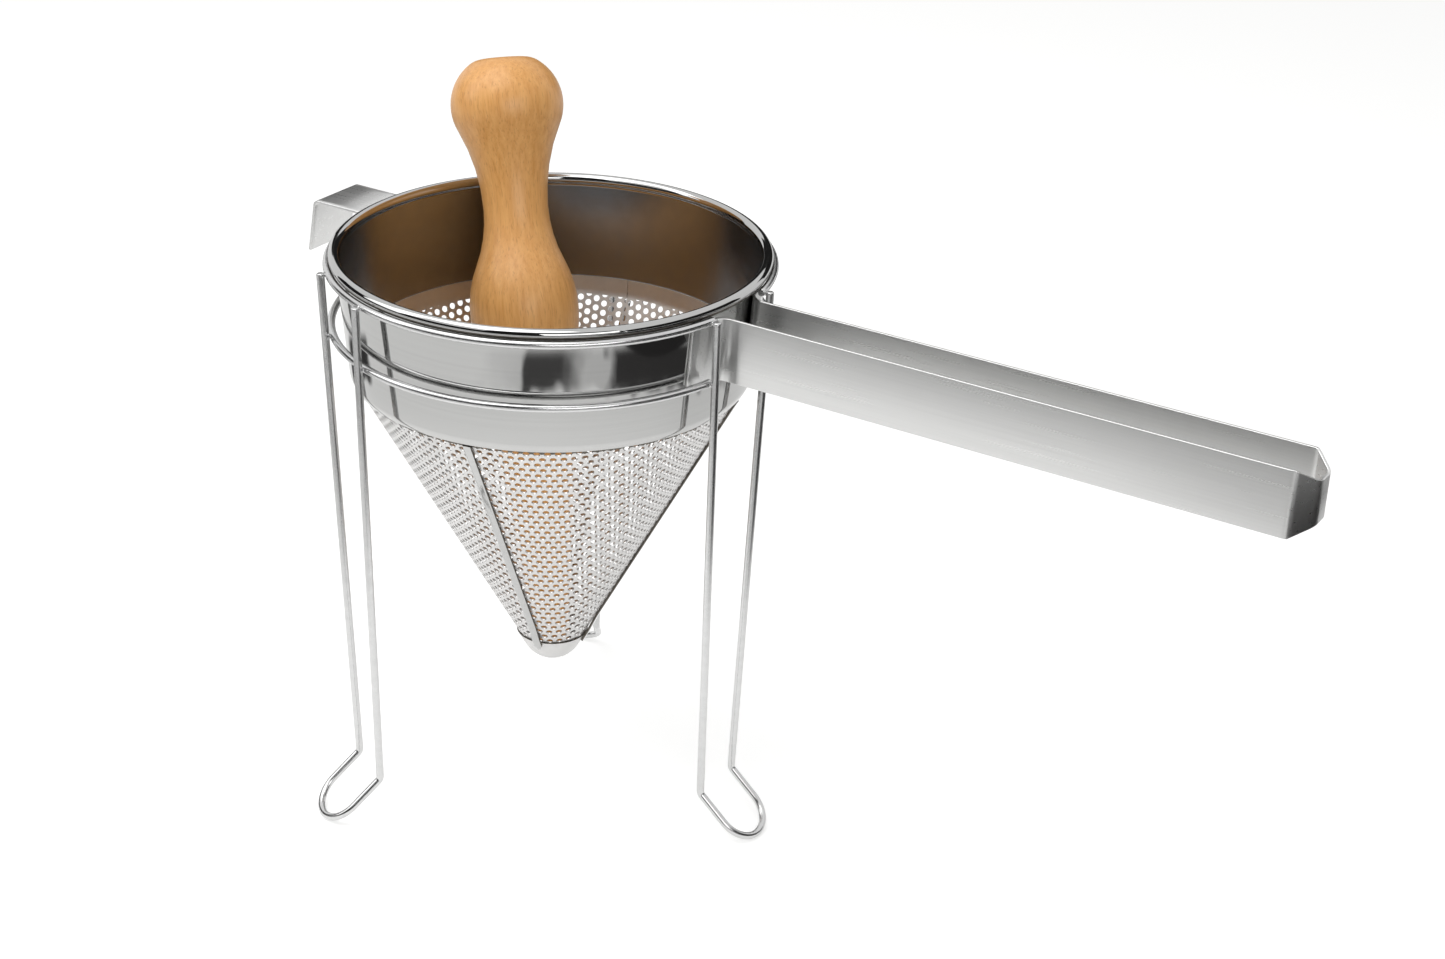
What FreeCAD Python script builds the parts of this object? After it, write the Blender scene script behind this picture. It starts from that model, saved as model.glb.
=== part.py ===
import FreeCAD, Part
import math
import os
import re
import Sketcher

# Cone sieve that stands in a three-legged wire stand, with a turned wooden pestle.
# Millimetres. +Z is up, +X runs along the handle, and the origin is on the floor under the sieve's axis.

# Driving sizes, one cell of the sheet each.
SIZES = {
    # sieve: collar with a rolled rim
    "rim_diameter": 178.0,
    "bead_diameter": 4.6,
    "rim_wire_slack": 0.1,
    "collar_sheet": 0.8,
    "collar_drop": 50.7,
    "collar_lean": 5.0,
    "curl_end": 75.0,
    "rim_turn": 45.0,
    "wall_inset": 0.6,
    "foot_bend": 8.0,
    # sieve: perforated cone, seam strips and tip cap
    "cone_half_angle": 28.3,
    "cap_mouth": 14.7,
    "panel_count": 4,
    "panel_sheet": 0.6,
    "panel_margin": 6.5,
    "panel_gap_angle": 0.3,
    "panel_lap": 7.0,
    "seam_turn": 11.75,
    "hole_pitch": 10.8,
    "hole_width": 7.0,
    "hole_border": 5.5,
    "strip_width": 3.3,
    "strip_sheet": 0.5,
    "strip_lap": 4.0,
    "cap_sheet": 0.6,
    "cap_nose": 13.3,
    "weld_gap": 0.05,
    # sieve: strap handle and pan hook
    "strap_width": 26.2,
    "strap_sheet": 1.2,
    "strap_drop": 3.5,
    "handle_width": 23.6,
    "handle_reach": 325.0,
    "handle_bend": 7.0,
    "flange_land": 6.2,
    "nose_width": 10.0,
    "nose_depth": 7.5,
    "nose_bend": 4.0,
    "nose_trim": 4.5,
    "hook_reach": 24.4,
    "hook_drop": 23.8,
    "hook_flare": 10.0,
    "hook_bend": 1.5,
    # stand: bent wire
    "wire": 3.2,
    "ring_height": 236.9,
    "ring_offset": 2.8,
    "ring_spacing": 26.0,
    "ring_side_gap": 5.5,
    "leg_count": 3,
    "leg_top_rise": 0.6,
    "leg_side_gap": 7.5,
    "foot_width": 24.4,
    "foot_radius": 85.0,
    "foot_slope": 40.5,
    "foot_length": 15.8,
    "knee_bend": 3.0,
    # pestle
    "tip_radius": 7.1,
    "taper": 6.55,
    "shoulder_curve": 47.0,
    "shoulder_height": 142.2,
    "waist_run": 43.0,
    "neck_radius": 13.7,
    "flare_run": 43.6,
    "head_radius": 23.8,
    "head_curve": 21.5,
    "crown_drop": 2.0,
    "pestle_turn": 139.1,
    # running clearance between the three loose bodies
    "seat_gap": 0.3,
}

# Sizes that follow from the driving ones, as formulas in the same words.
DERIVED = {
    "bead_ring": "rim_diameter / 2 - bead_diameter / 2",
    "curl_mid": "bead_diameter / 2 - collar_sheet / 2",
    "curl_inside": "bead_diameter / 2 - collar_sheet",
    "bead_reach": "bead_diameter / 2 + wire / 2 + seat_gap",
    "ring_diameter": "2 * (bead_ring + ring_offset)",
    "bead_height": "ring_height + sqrt(bead_reach ^ 2 - ring_offset ^ 2)",
    "join_x": "-cos(rim_turn - collar_lean)",
    "join_y": "-sin(rim_turn - collar_lean)",
    "rim_neck": "(curl_mid * cos(rim_turn) - wall_inset * cos(collar_lean)) / (1 - cos(rim_turn))",
    "collar_foot_height": "bead_height - collar_drop",
    "foot_turn": "cone_half_angle - collar_lean",
    "foot_run": "foot_bend * tan(foot_turn / 2)",
    "corner_height": "collar_foot_height + foot_run * cos(cone_half_angle)",
    "corner_radius": "bead_ring - wall_inset - (bead_height - corner_height) * tan(collar_lean)",
    "panel_inset": "collar_sheet / 2 + weld_gap",
    "corner_share": "panel_inset / (1 + cos(foot_turn))",
    "cone_mouth": "corner_radius - corner_share * (cos(collar_lean) + cos(cone_half_angle))",
    "mouth_height": "corner_height + corner_share * (sin(collar_lean) + sin(cone_half_angle))",
    "cone_apex": "mouth_height - cone_mouth / tan(cone_half_angle)",
    "cone_depth": "(cone_mouth - cap_mouth) / tan(cone_half_angle)",
    "cap_mouth_height": "mouth_height - cone_depth",
    "cap_skin": "weld_gap + cap_sheet",
    "nose_height": "cone_apex + (cap_nose - cap_skin) / sin(cone_half_angle)",
    "tip_on_cone": "cone_apex + (tip_radius + seat_gap + panel_sheet) / sin(cone_half_angle)",
    "tip_on_cap": "nose_height - cap_nose + cap_sheet + seat_gap + tip_radius",
    "tip_height": "max(tip_on_cone; tip_on_cap)",
    "strap_top": "bead_height - strap_drop",
    "flange_reach": "handle_width / 2 + handle_bend + flange_land",
    "ring_opening": "handle_width + 2 * ring_side_gap",
    "leg_width": "handle_width + 2 * leg_side_gap",
    "lower_ring_height": "ring_height - ring_spacing",
    "weld_pitch": "wire + weld_gap",
    "leg_radius": "sqrt((ring_diameter / 2 + weld_pitch) ^ 2 - (leg_width / 2) ^ 2)",
    "knee_height": "wire / 2 + (foot_length + foot_width / 2) * sin(foot_slope)",
    "leg_share": "ring_spacing / (ring_height - knee_height)",
    "low_leg_radius": "leg_radius + (foot_radius - leg_radius) * leg_share",
    "low_leg_half": "(leg_width + (foot_width - leg_width) * leg_share) / 2",
    "lower_ring_radius": "sqrt(low_leg_radius ^ 2 + low_leg_half ^ 2) - weld_pitch",
    "body_rise": "tip_radius - shoulder_curve + shoulder_height * sin(taper)",
    "body_radius": "shoulder_curve + body_rise / cos(taper)",
    "waist": "body_radius - neck_radius",
    "neck_height": "shoulder_height + waist_run",
    "head_height": "neck_height + flare_run",
    "pestle_top": "head_height + head_curve - crown_drop",
    "low_curve": "(waist ^ 2 + waist_run ^ 2) / (2 * waist) - shoulder_curve",
    "flare": "head_radius - neck_radius",
    "high_curve": "(flare ^ 2 + flare_run ^ 2) / (2 * flare) - head_curve",
    "low_part": "shoulder_curve / (shoulder_curve + low_curve)",
    "high_part": "high_curve / (high_curve + head_curve)",
    "crown": "head_curve - crown_drop",
}

WORD = re.compile(r"[a-z_]+")

doc = FreeCAD.newDocument("cone_sieve")
sheet = doc.addObject("Spreadsheet::Sheet", "sizes")
for row, (name, number) in enumerate(SIZES.items(), 1):
    sheet.set(f"A{row}", name)
    sheet.set(f"B{row}", str(number))
    sheet.setAlias(f"B{row}", name)
doc.recompute()


def bind(text):
    """The formula as an expression on the sheet's cells."""
    def cell(match):
        word = match.group()
        if word in SIZES:
            return f"sizes.{word}"
        if word in DERIVED:
            return f"({bind(DERIVED[word])})"
        return word
    return WORD.sub(cell, text)


def value(text):
    """The formula's number, read from the sheet."""
    result = sheet.evalExpression(bind(text))
    return float(getattr(result, "Value", result))


def set_sizes(thing, **formulas):
    """Bind each property of a document object to its formula."""
    for name, text in formulas.items():
        thing.setExpression(name, bind(text))


def polar(radius, degrees, height=0.0):
    angle = math.radians(degrees)
    return FreeCAD.Vector(radius * math.cos(angle), radius * math.sin(angle), height)


def new_body(label):
    body = doc.addObject("PartDesign::Body", label)
    body.Label = label
    return body


def place_value(sketch, kind, geometry, vertex, text):
    """Fix one coordinate of a sketch vertex, on the axis where it is zero."""
    if text == "0":
        axis = -2 if kind == "DistanceX" else -1
        sketch.addConstraint(Sketcher.Constraint("PointOnObject", geometry, vertex, axis))
        return
    index = sketch.addConstraint(Sketcher.Constraint(kind, -1, 1, geometry, vertex, value(text)))
    sketch.setExpression(f"Constraints[{index}]", bind(text))


def outline(body, label, role, sides):
    """A closed sketch. Each side is its first corner (x, y), and for an arc its radius and the hand of its centre."""
    sketch = body.newObject("Sketcher::SketchObject", label)
    plane = next(item for item in body.Origin.OriginFeatures if item.Role == role)
    sketch.AttachmentSupport = [(plane, "")]
    sketch.MapMode = "FlatFace"
    corners = [FreeCAD.Vector(value(side[0]), value(side[1]), 0) for side in sides]
    ends = []
    for index, side in enumerate(sides):
        first, last = corners[index], corners[(index + 1) % len(sides)]
        if len(side) == 2:
            sketch.addGeometry(Part.LineSegment(first, last))
            ends.append((1, 2))
            continue
        radius, hand = value(side[2]), side[3]
        chord = last - first
        left = FreeCAD.Vector(-chord.y, chord.x, 0).normalize()
        rise = math.sqrt(radius ** 2 - (chord.Length / 2) ** 2)
        centre = (first + last) / 2 + left * (rise if hand == "left" else -rise)
        start, stop = (first, last) if hand == "left" else (last, first)
        turn = [math.atan2(point.y - centre.y, point.x - centre.x) for point in (start, stop)]
        circle = Part.Circle(centre, FreeCAD.Vector(0, 0, 1), radius)
        sketch.addGeometry(Part.ArcOfCircle(circle, turn[0], turn[1]))
        ends.append((1, 2) if hand == "left" else (2, 1))
    for index, side in enumerate(sides):
        following = (index + 1) % len(sides)
        sketch.addConstraint(Sketcher.Constraint("Coincident", index, ends[index][1], following, ends[following][0]))
    for index, side in enumerate(sides):
        place_value(sketch, "DistanceX", index, ends[index][0], side[0])
        place_value(sketch, "DistanceY", index, ends[index][0], side[1])
        if len(side) == 4:
            index = sketch.addConstraint(Sketcher.Constraint("Radius", index, value(side[2])))
            sketch.setExpression(f"Constraints[{index}]", bind(side[2]))
    return sketch


def turned(label, sides):
    """A body turned from a half section in the XZ plane."""
    body = new_body(label)
    turn = body.newObject("PartDesign::Revolution", f"{label}_turn")
    turn.Profile = outline(body, f"{label}_section", "XZ_Plane", sides)
    turn.ReferenceAxis = (turn.Profile[0], ["V_Axis"])
    turn.Angle = 360
    return body


def feature(label, shape, turn=0.0):
    """A node whose shape is set here, turned about the sieve's axis."""
    node = doc.addObject("Part::Feature", label)
    node.Label = label
    node.Shape = shape
    node.Placement = FreeCAD.Placement(FreeCAD.Vector(), FreeCAD.Rotation(FreeCAD.Vector(0, 0, 1), turn))
    return node


def path_edges(points, bend):
    """Straight runs through the points, with a tangent arc of the bend radius at each corner between them."""
    edges = []
    here = points[0]
    for before, corner, after in zip(points, points[1:], points[2:]):
        back = (before - corner).normalize()
        ahead = (after - corner).normalize()
        half = back.getAngle(ahead) / 2
        middle = (back + ahead).normalize()
        centre = corner + middle * (bend / math.sin(half))
        start = corner + back * (bend / math.tan(half))
        stop = corner + ahead * (bend / math.tan(half))
        edges.append(Part.LineSegment(here, start).toShape())
        edges.append(Part.Arc(start, centre - middle * bend, stop).toShape())
        here = stop
    edges.append(Part.LineSegment(here, points[-1]).toShape())
    return edges


def make_rings():
    """The stand's two wire rings, open where the handle passes out."""
    for label, radius, height in (
        ("upper_ring", "ring_diameter / 2", "ring_height"),
        ("lower_ring", "lower_ring_radius", "lower_ring_height"),
    ):
        ring = doc.addObject("Part::Torus", label)
        ring.Label = label
        half_opening = f"asin(ring_opening / 2 / ({radius}))"
        set_sizes(ring, Radius1=radius, Radius2="wire / 2", Angle3=f"360 deg - 2 * {half_opening}")
        ring.setExpression("Placement.Base.z", bind(height))
        ring.setExpression("Placement.Rotation.Angle", bind(half_opening))


def make_legs():
    """Hairpin legs, each one wire: two uprights, bent out at the knees and closed by a foot loop."""
    half_top, half_foot = value("leg_width") / 2, value("foot_width") / 2
    top_height, knee_height = value("ring_height"), value("knee_height")
    slope = math.radians(value("foot_slope"))
    outward = FreeCAD.Vector(math.cos(slope), 0, -math.sin(slope))
    uprights = []
    for side in (1, -1):
        ring_point = FreeCAD.Vector(value("leg_radius"), side * half_top, top_height)
        knee = FreeCAD.Vector(value("foot_radius"), side * half_foot, knee_height)
        rise = (ring_point - knee).normalize() * value("leg_top_rise")
        uprights.append([ring_point + rise, knee, knee + outward * value("foot_length")])
    near, far = (path_edges(points, value("knee_bend")) for points in uprights)
    toe = FreeCAD.Vector(value("foot_radius"), 0, knee_height) + outward * (value("foot_length") + half_foot)
    loop = Part.Arc(uprights[0][-1], toe, uprights[1][-1]).toShape()
    path = Part.Wire(near + [loop] + far[::-1])
    top, knee = uprights[0][0], uprights[0][1]
    section = Part.Wire(Part.makeCircle(value("wire") / 2, top, knee - top))
    wire = path.makePipeShell([section], True, False)
    step = 360 / value("leg_count")
    for label, turn in (("handle_leg", 0.0), ("back_leg", step), ("left_leg", -step)):
        feature(label, wire.copy(), turn)


def make_collar():
    """Plain band that leans in towards its foot, turned in there to lie on the cone and rolled out at the top round
    the rim wire."""
    half = "collar_sheet / 2"
    inward = ("-cos(collar_lean)", "sin(collar_lean)")
    upward = ("sin(collar_lean)", "cos(collar_lean)")
    cone_inward = ("-cos(cone_half_angle)", "sin(cone_half_angle)")

    def on_curl(radius, x_part, y_part):
        return f"bead_ring + ({radius}) * {x_part}", f"bead_height + ({radius}) * {y_part}"

    def on_foot(side):
        return (f"corner_radius - foot_run * sin(cone_half_angle) {side} {half} * {cone_inward[0]}",
                f"collar_foot_height {side} {half} * {cone_inward[1]}")

    def on_wall_low(side):
        return (f"corner_radius + foot_run * {upward[0]} {side} {half} * {inward[0]}",
                f"corner_height + foot_run * {upward[1]} {side} {half} * {inward[1]}")

    def on_neck(radius):
        return (f"bead_ring + (curl_mid + rim_neck) * join_x - ({radius}) * {inward[0]}",
                f"bead_height + (curl_mid + rim_neck) * join_y - ({radius}) * {inward[1]}")

    inside, outside = "curl_inside", "bead_diameter / 2"
    neck_inside, neck_outside = f"rim_neck - {half}", f"rim_neck + {half}"
    join, end = ("join_x", "join_y"), ("cos(curl_end)", "-sin(curl_end)")
    return turned("collar", [
        on_foot("+"),
        (*on_foot("-"), f"foot_bend + {half}", "left"),
        on_wall_low("-"),
        (*on_neck(neck_outside), neck_outside, "left"),
        (*on_curl(inside, *join), inside, "right"),
        (*on_curl(inside, "0", "1"), inside, "right"),
        (*on_curl(inside, "1", "0"), inside, "right"),
        on_curl(inside, *end),
        (*on_curl(outside, *end), outside, "left"),
        (*on_curl(outside, "1", "0"), outside, "left"),
        (*on_curl(outside, "0", "1"), outside, "left"),
        (*on_curl(outside, *join), neck_inside, "right"),
        on_neck(neck_inside),
        (*on_wall_low("+"), f"foot_bend - {half}", "right"),
    ])


def make_rim_wire():
    """Stiffening wire inside the rolled rim."""
    rim = doc.addObject("Part::Torus", "rim_wire")
    rim.Label = "rim_wire"
    set_sizes(rim, Radius1="bead_ring", Radius2="curl_inside - rim_wire_slack")
    rim.setExpression("Placement.Base.z", bind("bead_height"))


def panel_holes(sine, cosine, low, high):
    """Staggered holes, laid out in the flat sheet and rolled with it: one six-sided cutter each."""
    pitch, border = value("hole_pitch"), value("hole_border")
    half_flat = math.radians(180 / value("panel_count")) * sine
    apex = value("cone_apex")
    depth = value("panel_sheet") * 4
    cutters = []
    row_step = pitch * math.sqrt(3) / 2
    first_row = math.ceil(low * math.cos(half_flat) / row_step)
    for row in range(first_row, int(high / row_step) + 1):
        along = row * row_step
        reach = int(along * math.tan(half_flat) / pitch) + 1
        for column in range(-reach, reach + 1):
            across = (column + 0.5 * (row % 2)) * pitch
            slant, angle = math.hypot(along, across), math.atan2(across, along)
            to_seam = slant * math.sin(half_flat - abs(angle))
            if to_seam < border or not low + border < slant < high - border:
                continue
            turn = math.degrees(angle / sine)
            centre = polar(slant * sine, turn, apex + slant * cosine)
            normal = polar(cosine, turn, -sine)
            around = polar(1.0, turn + 90)
            along_cone = normal.cross(around)
            corner = value("hole_width") / math.sqrt(3)
            ring = [centre - normal * depth / 2
                    + around * corner * math.cos(math.pi * k / 3)
                    + along_cone * corner * math.sin(math.pi * k / 3) for k in range(7)]
            cutters.append(Part.Face(Part.makePolygon(ring)).extrude(normal * depth))
    return cutters


def make_panels():
    """Perforated quarter cones, turned up at the top along the collar's wall and tucked into the tip cap."""
    half_angle, lean = math.radians(value("cone_half_angle")), math.radians(value("collar_lean"))
    sine, cosine = math.sin(half_angle), math.cos(half_angle)
    along_cone, along_wall = FreeCAD.Vector(sine, 0, cosine), FreeCAD.Vector(math.sin(lean), 0, math.cos(lean))
    into_cone, into_wall = FreeCAD.Vector(-cosine, 0, sine), FreeCAD.Vector(-math.cos(lean), 0, math.sin(lean))
    sheet_size, bend = value("panel_sheet"), value("foot_bend - panel_inset")
    elbow = FreeCAD.Vector(value("cone_mouth"), 0, value("mouth_height"))
    top = elbow + along_wall * value("panel_margin")
    foot = elbow - along_cone * (value("cone_depth") / cosine + value("panel_lap"))
    inner_elbow = elbow + (into_cone + into_wall) * (sheet_size / (1 + into_cone.dot(into_wall)))
    inner_top, inner_foot = top + into_wall * sheet_size, foot + into_cone * sheet_size
    section = path_edges([top, elbow, foot], bend)
    section += path_edges([inner_top, inner_elbow, inner_foot], bend - sheet_size)
    section += [Part.LineSegment(top, inner_top).toShape(), Part.LineSegment(foot, inner_foot).toShape()]
    span = 360 / value("panel_count") - value("panel_gap_angle")
    face = Part.Face(Part.Wire(Part.__sortEdges__(section)))
    axis = FreeCAD.Vector(0, 0, 1)
    blank = face.revolve(FreeCAD.Vector(), axis, span).rotated(FreeCAD.Vector(), axis, -span / 2)
    low = value("cap_mouth") / sine
    high = value("cone_mouth") / sine - value("foot_run")
    cutters = panel_holes(sine, cosine, low, high)
    panel = blank.cut(cutters)
    print("holes in each panel:", len(cutters))
    for index in range(int(value("panel_count"))):
        turn = value("seam_turn") + (index + 0.5) * 360 / value("panel_count")
        feature(f"cone_panel_{index + 1}", panel.copy(), turn)


def make_strips():
    """Flat strips over the seams between the panels, round at the foot and lapped over the tip cap."""
    half_angle = math.radians(value("cone_half_angle"))
    sine, cosine = math.sin(half_angle), math.cos(half_angle)
    outward = FreeCAD.Vector(cosine, 0, -sine)
    top = FreeCAD.Vector(value("cone_mouth"), 0, value("mouth_height")) + outward * value("weld_gap")
    top -= FreeCAD.Vector(sine, 0, cosine) * value("foot_run + 2 * strip_sheet")
    mouth = FreeCAD.Vector(value("cap_mouth"), 0, value("cap_mouth_height"))
    mouth += outward * (value("cap_skin") + value("weld_gap"))
    down = (mouth - top).normalize()
    normal = FreeCAD.Vector(0, 1, 0).cross(down).normalize()
    if normal.dot(outward) < 0:
        normal = -normal
    lean = FreeCAD.Rotation(down, down.cross(normal), normal, "ZXY")
    run = (mouth - top).Length
    for index in range(int(value("panel_count"))):
        label = f"seam_strip_{index + 1}"
        body = new_body(label)
        half = "strip_width / 2"
        length = f"{run} + strip_lap - strip_width / 2"
        pad = body.newObject("PartDesign::Pad", f"{label}_pad")
        pad.Profile = outline(body, f"{label}_outline", "XY_Plane", [
            ("0", f"-{half}"),
            (length, f"-{half}", f"{half} * 1.0001", "left"),
            (length, half),
            ("0", half),
        ])
        pad.setExpression("Length", bind("strip_sheet"))
        turn = FreeCAD.Rotation(FreeCAD.Vector(0, 0, 1), value("seam_turn") + index * 360 / value("panel_count"))
        body.Placement = FreeCAD.Placement(turn.multVec(top), turn.multiply(lean))


def make_cap():
    """Blunt cup that closes the cone's point, outside the ends of the panels."""
    out = ("cos(cone_half_angle)", "-sin(cone_half_angle)")

    def mouth(skin):
        return f"cap_mouth + ({skin}) * {out[0]}", f"cap_mouth_height + ({skin}) * {out[1]}"

    def nose(radius):
        return f"({radius}) * {out[0]}", f"nose_height + ({radius}) * {out[1]}"

    inner = "cap_nose - cap_sheet"
    return turned("tip_cap", [
        ("0", "nose_height - cap_nose", "cap_nose", "left"),
        nose("cap_nose"),
        mouth("cap_skin"),
        mouth("weld_gap"),
        (*nose(inner), inner, "right"),
        ("0", f"nose_height - ({inner})"),
    ])


def strap_section(height):
    """The looped strap in plan at one height: flanges on the collar, outward bends, arms and blunt nose."""
    lean = math.radians(value("collar_lean"))
    wall = value("bead_ring - wall_inset") - (value("bead_height") - height) * math.tan(lean)
    flange = wall + (value("collar_sheet") / 2 + value("weld_gap")) / math.cos(lean)
    sheet_size, bend = value("strap_sheet"), value("handle_bend")
    half = value("handle_width") / 2
    reach, nose = value("handle_reach"), value("nose_width") / 2
    centre_y = half + bend
    centre_x = math.sqrt((flange + sheet_size + bend) ** 2 - centre_y ** 2)
    meet = math.degrees(math.atan2(centre_y, centre_x))
    end = math.degrees(math.asin(value("flange_reach") / (flange + sheet_size)))

    def half_side(inset):
        """Edges from the flange's end to the arm, on one face of the strap."""
        radius = flange + sheet_size - inset
        around = bend + inset
        centre = FreeCAD.Vector(centre_x, centre_y, height)
        arc_points = [polar(radius, angle, height) for angle in (end, (end + meet) / 2, meet)]
        turn_points = [centre + polar(around, angle) for angle in (meet + 180, (meet + 450) / 2, 270)]
        return [Part.Arc(*arc_points).toShape(), Part.Arc(*turn_points).toShape()]

    def arms(inset):
        """Edges along one arm, round the nose and back along the other, on one face of the strap."""
        side, tip = half - inset, reach - inset
        slant = math.atan2(half - nose, value("nose_depth"))
        near = reach - value("nose_depth") - inset * math.tan(slant / 2)
        flat = nose - inset * math.tan((math.pi / 2 - slant) / 2)
        corners = [(centre_x, side), (near, side), (tip, flat), (tip, -flat), (near, -side), (centre_x, -side)]
        points = [FreeCAD.Vector(x, y, height) for x, y in corners]
        return path_edges(points, value("nose_bend") + sheet_size - inset)

    def face_edges(inset):
        first = half_side(inset)
        mirrored = [edge.mirror(FreeCAD.Vector(), FreeCAD.Vector(0, 1, 0)) for edge in first]
        return first + arms(inset) + mirrored[::-1]

    outer, inner = face_edges(0.0), face_edges(sheet_size)
    ends = [Part.LineSegment(polar(flange, side * end, height), polar(flange + sheet_size, side * end, height))
            for side in (1, -1)]
    return Part.Wire(Part.__sortEdges__(outer + inner + [line.toShape() for line in ends]))


def make_handle():
    """One strap looped into a handle. Its flanges follow the collar's lean, so it is lofted top to bottom, and its
    two edges are trimmed off towards the nose."""
    top, width = value("strap_top"), value("strap_width")
    loft = Part.makeLoft([strap_section(top), strap_section(top - width)], True, True)
    start, reach = value("handle_reach - nose_depth"), value("handle_reach")
    trim, side = value("nose_trim"), FreeCAD.Vector(0, value("handle_width"), 0)
    wedges = []
    for edge, way in ((top, -1), (top - width, 1)):
        deep, clear = edge + way * trim, edge - way * trim
        places = [(start, edge), (reach, deep), (reach + trim, deep), (reach + trim, clear), (start, clear)]
        corners = [FreeCAD.Vector(x, 0, z) - side for x, z in places]
        wedges.append(Part.Face(Part.makePolygon(corners + corners[:1])).extrude(side * 2))
    feature("handle", loft.cut(wedges))


def make_hook():
    """Strap hook that hangs the sieve on a pan's edge, welded to the rim opposite the handle."""
    body = new_body("hook_strap")
    half = "strap_sheet / 2"
    inner, outer = "hook_bend", "hook_bend + strap_sheet"
    drop = ("-sin(hook_flare)", "-cos(hook_flare)")
    out = ("-cos(hook_flare)", "sin(hook_flare)")
    bend_x = "-(rim_diameter / 2 + hook_reach - hook_bend - strap_sheet)"
    bend_y = f"bead_height + {half} - ({outer})"
    run = f"hook_drop - ({outer})"

    def on_bend(radius, along):
        return (f"{bend_x} + ({radius}) * {out[0]} + ({along}) * {drop[0]}",
                f"{bend_y} + ({radius}) * {out[1]} + ({along}) * {drop[1]}")

    pad = body.newObject("PartDesign::Pad", "hook_pad")
    pad.Profile = outline(body, "hook_outline", "XZ_Plane", [
        ("-bead_ring + bead_diameter / 8", f"bead_height - {half}"),
        ("-bead_ring + bead_diameter / 8", f"bead_height + {half}"),
        (bend_x, f"bead_height + {half}", outer, "left"),
        on_bend(outer, "0"),
        on_bend(outer, run),
        on_bend(inner, run),
        (*on_bend(inner, "0"), inner, "right"),
        (bend_x, f"bead_height - {half}"),
    ])
    pad.setExpression("Length", bind("strap_width"))
    pad.Midplane = True
    bead = doc.addObject("Part::Torus", "bead_tool")
    set_sizes(bead, Radius1="bead_ring", Radius2="bead_diameter / 2 + weld_gap")
    bead.setExpression("Placement.Base.z", bind("bead_height"))
    hook = doc.addObject("Part::Cut", "pan_hook")
    hook.Label = "pan_hook"
    hook.Base = body
    hook.Tool = bead


def make_pestle():
    """Turned pestle: round tip, long taper, shoulder, waist and a ball head with a flat crown."""
    out = ("cos(taper)", "-sin(taper)")
    shoulder = ("body_radius - shoulder_curve", "shoulder_height")
    low = ("neck_radius + low_curve", "neck_height")
    high = ("neck_radius + high_curve", "neck_height")
    head = ("head_radius - head_curve", "head_height")

    def between(first, last, part):
        return tuple(f"({a}) + (({b}) - ({a})) * {part}" for a, b in zip(first, last))

    pestle = turned("pestle", [
        ("0", "-tip_radius", "tip_radius", "left"),
        (f"tip_radius * {out[0]}", f"tip_radius * {out[1]}"),
        (f"{shoulder[0]} + shoulder_curve * {out[0]}", f"{shoulder[1]} + shoulder_curve * {out[1]}",
         "shoulder_curve", "left"),
        (*between(shoulder, low, "low_part"), "low_curve", "right"),
        ("neck_radius", "neck_height", "high_curve", "right"),
        (*between(high, head, "high_part"), "head_curve", "left"),
        (f"{head[0]} + sqrt(head_curve ^ 2 - crown ^ 2)", "pestle_top"),
        ("0", "pestle_top"),
    ])
    turn = FreeCAD.Rotation(FreeCAD.Vector(0, 0, 1), value("pestle_turn"))
    lean = FreeCAD.Rotation(FreeCAD.Vector(0, 1, 0), pestle_lean())
    pestle.Placement = FreeCAD.Placement(FreeCAD.Vector(0, 0, value("tip_height")), turn.multiply(lean))
    return pestle


def waist_radius(height):
    """The pestle's radius at a height between its shoulder and its crown."""
    neck, neck_height = value("neck_radius"), value("neck_height")
    low_centre = neck + value("low_curve")
    high_centre = neck + value("high_curve")
    split_low = value("shoulder_height + waist_run * low_part")
    split_high = value("neck_height + flare_run * high_part")
    if height < split_low:
        curve = value("shoulder_curve")
        return value("body_radius") - curve + math.sqrt(curve ** 2 - (height - value("shoulder_height")) ** 2)
    if height < neck_height:
        return low_centre - math.sqrt(value("low_curve") ** 2 - (height - neck_height) ** 2)
    if height < split_high:
        return high_centre - math.sqrt(value("high_curve") ** 2 - (height - neck_height) ** 2)
    curve = value("head_curve")
    return value("head_radius") - curve + math.sqrt(curve ** 2 - (height - value("head_height")) ** 2)


def taper_radius(height):
    """The pestle's radius at a height above its round tip and below its shoulder's curve."""
    taper = math.radians(value("taper"))
    return (value("tip_radius") + height * math.sin(taper)) / math.cos(taper)


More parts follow.
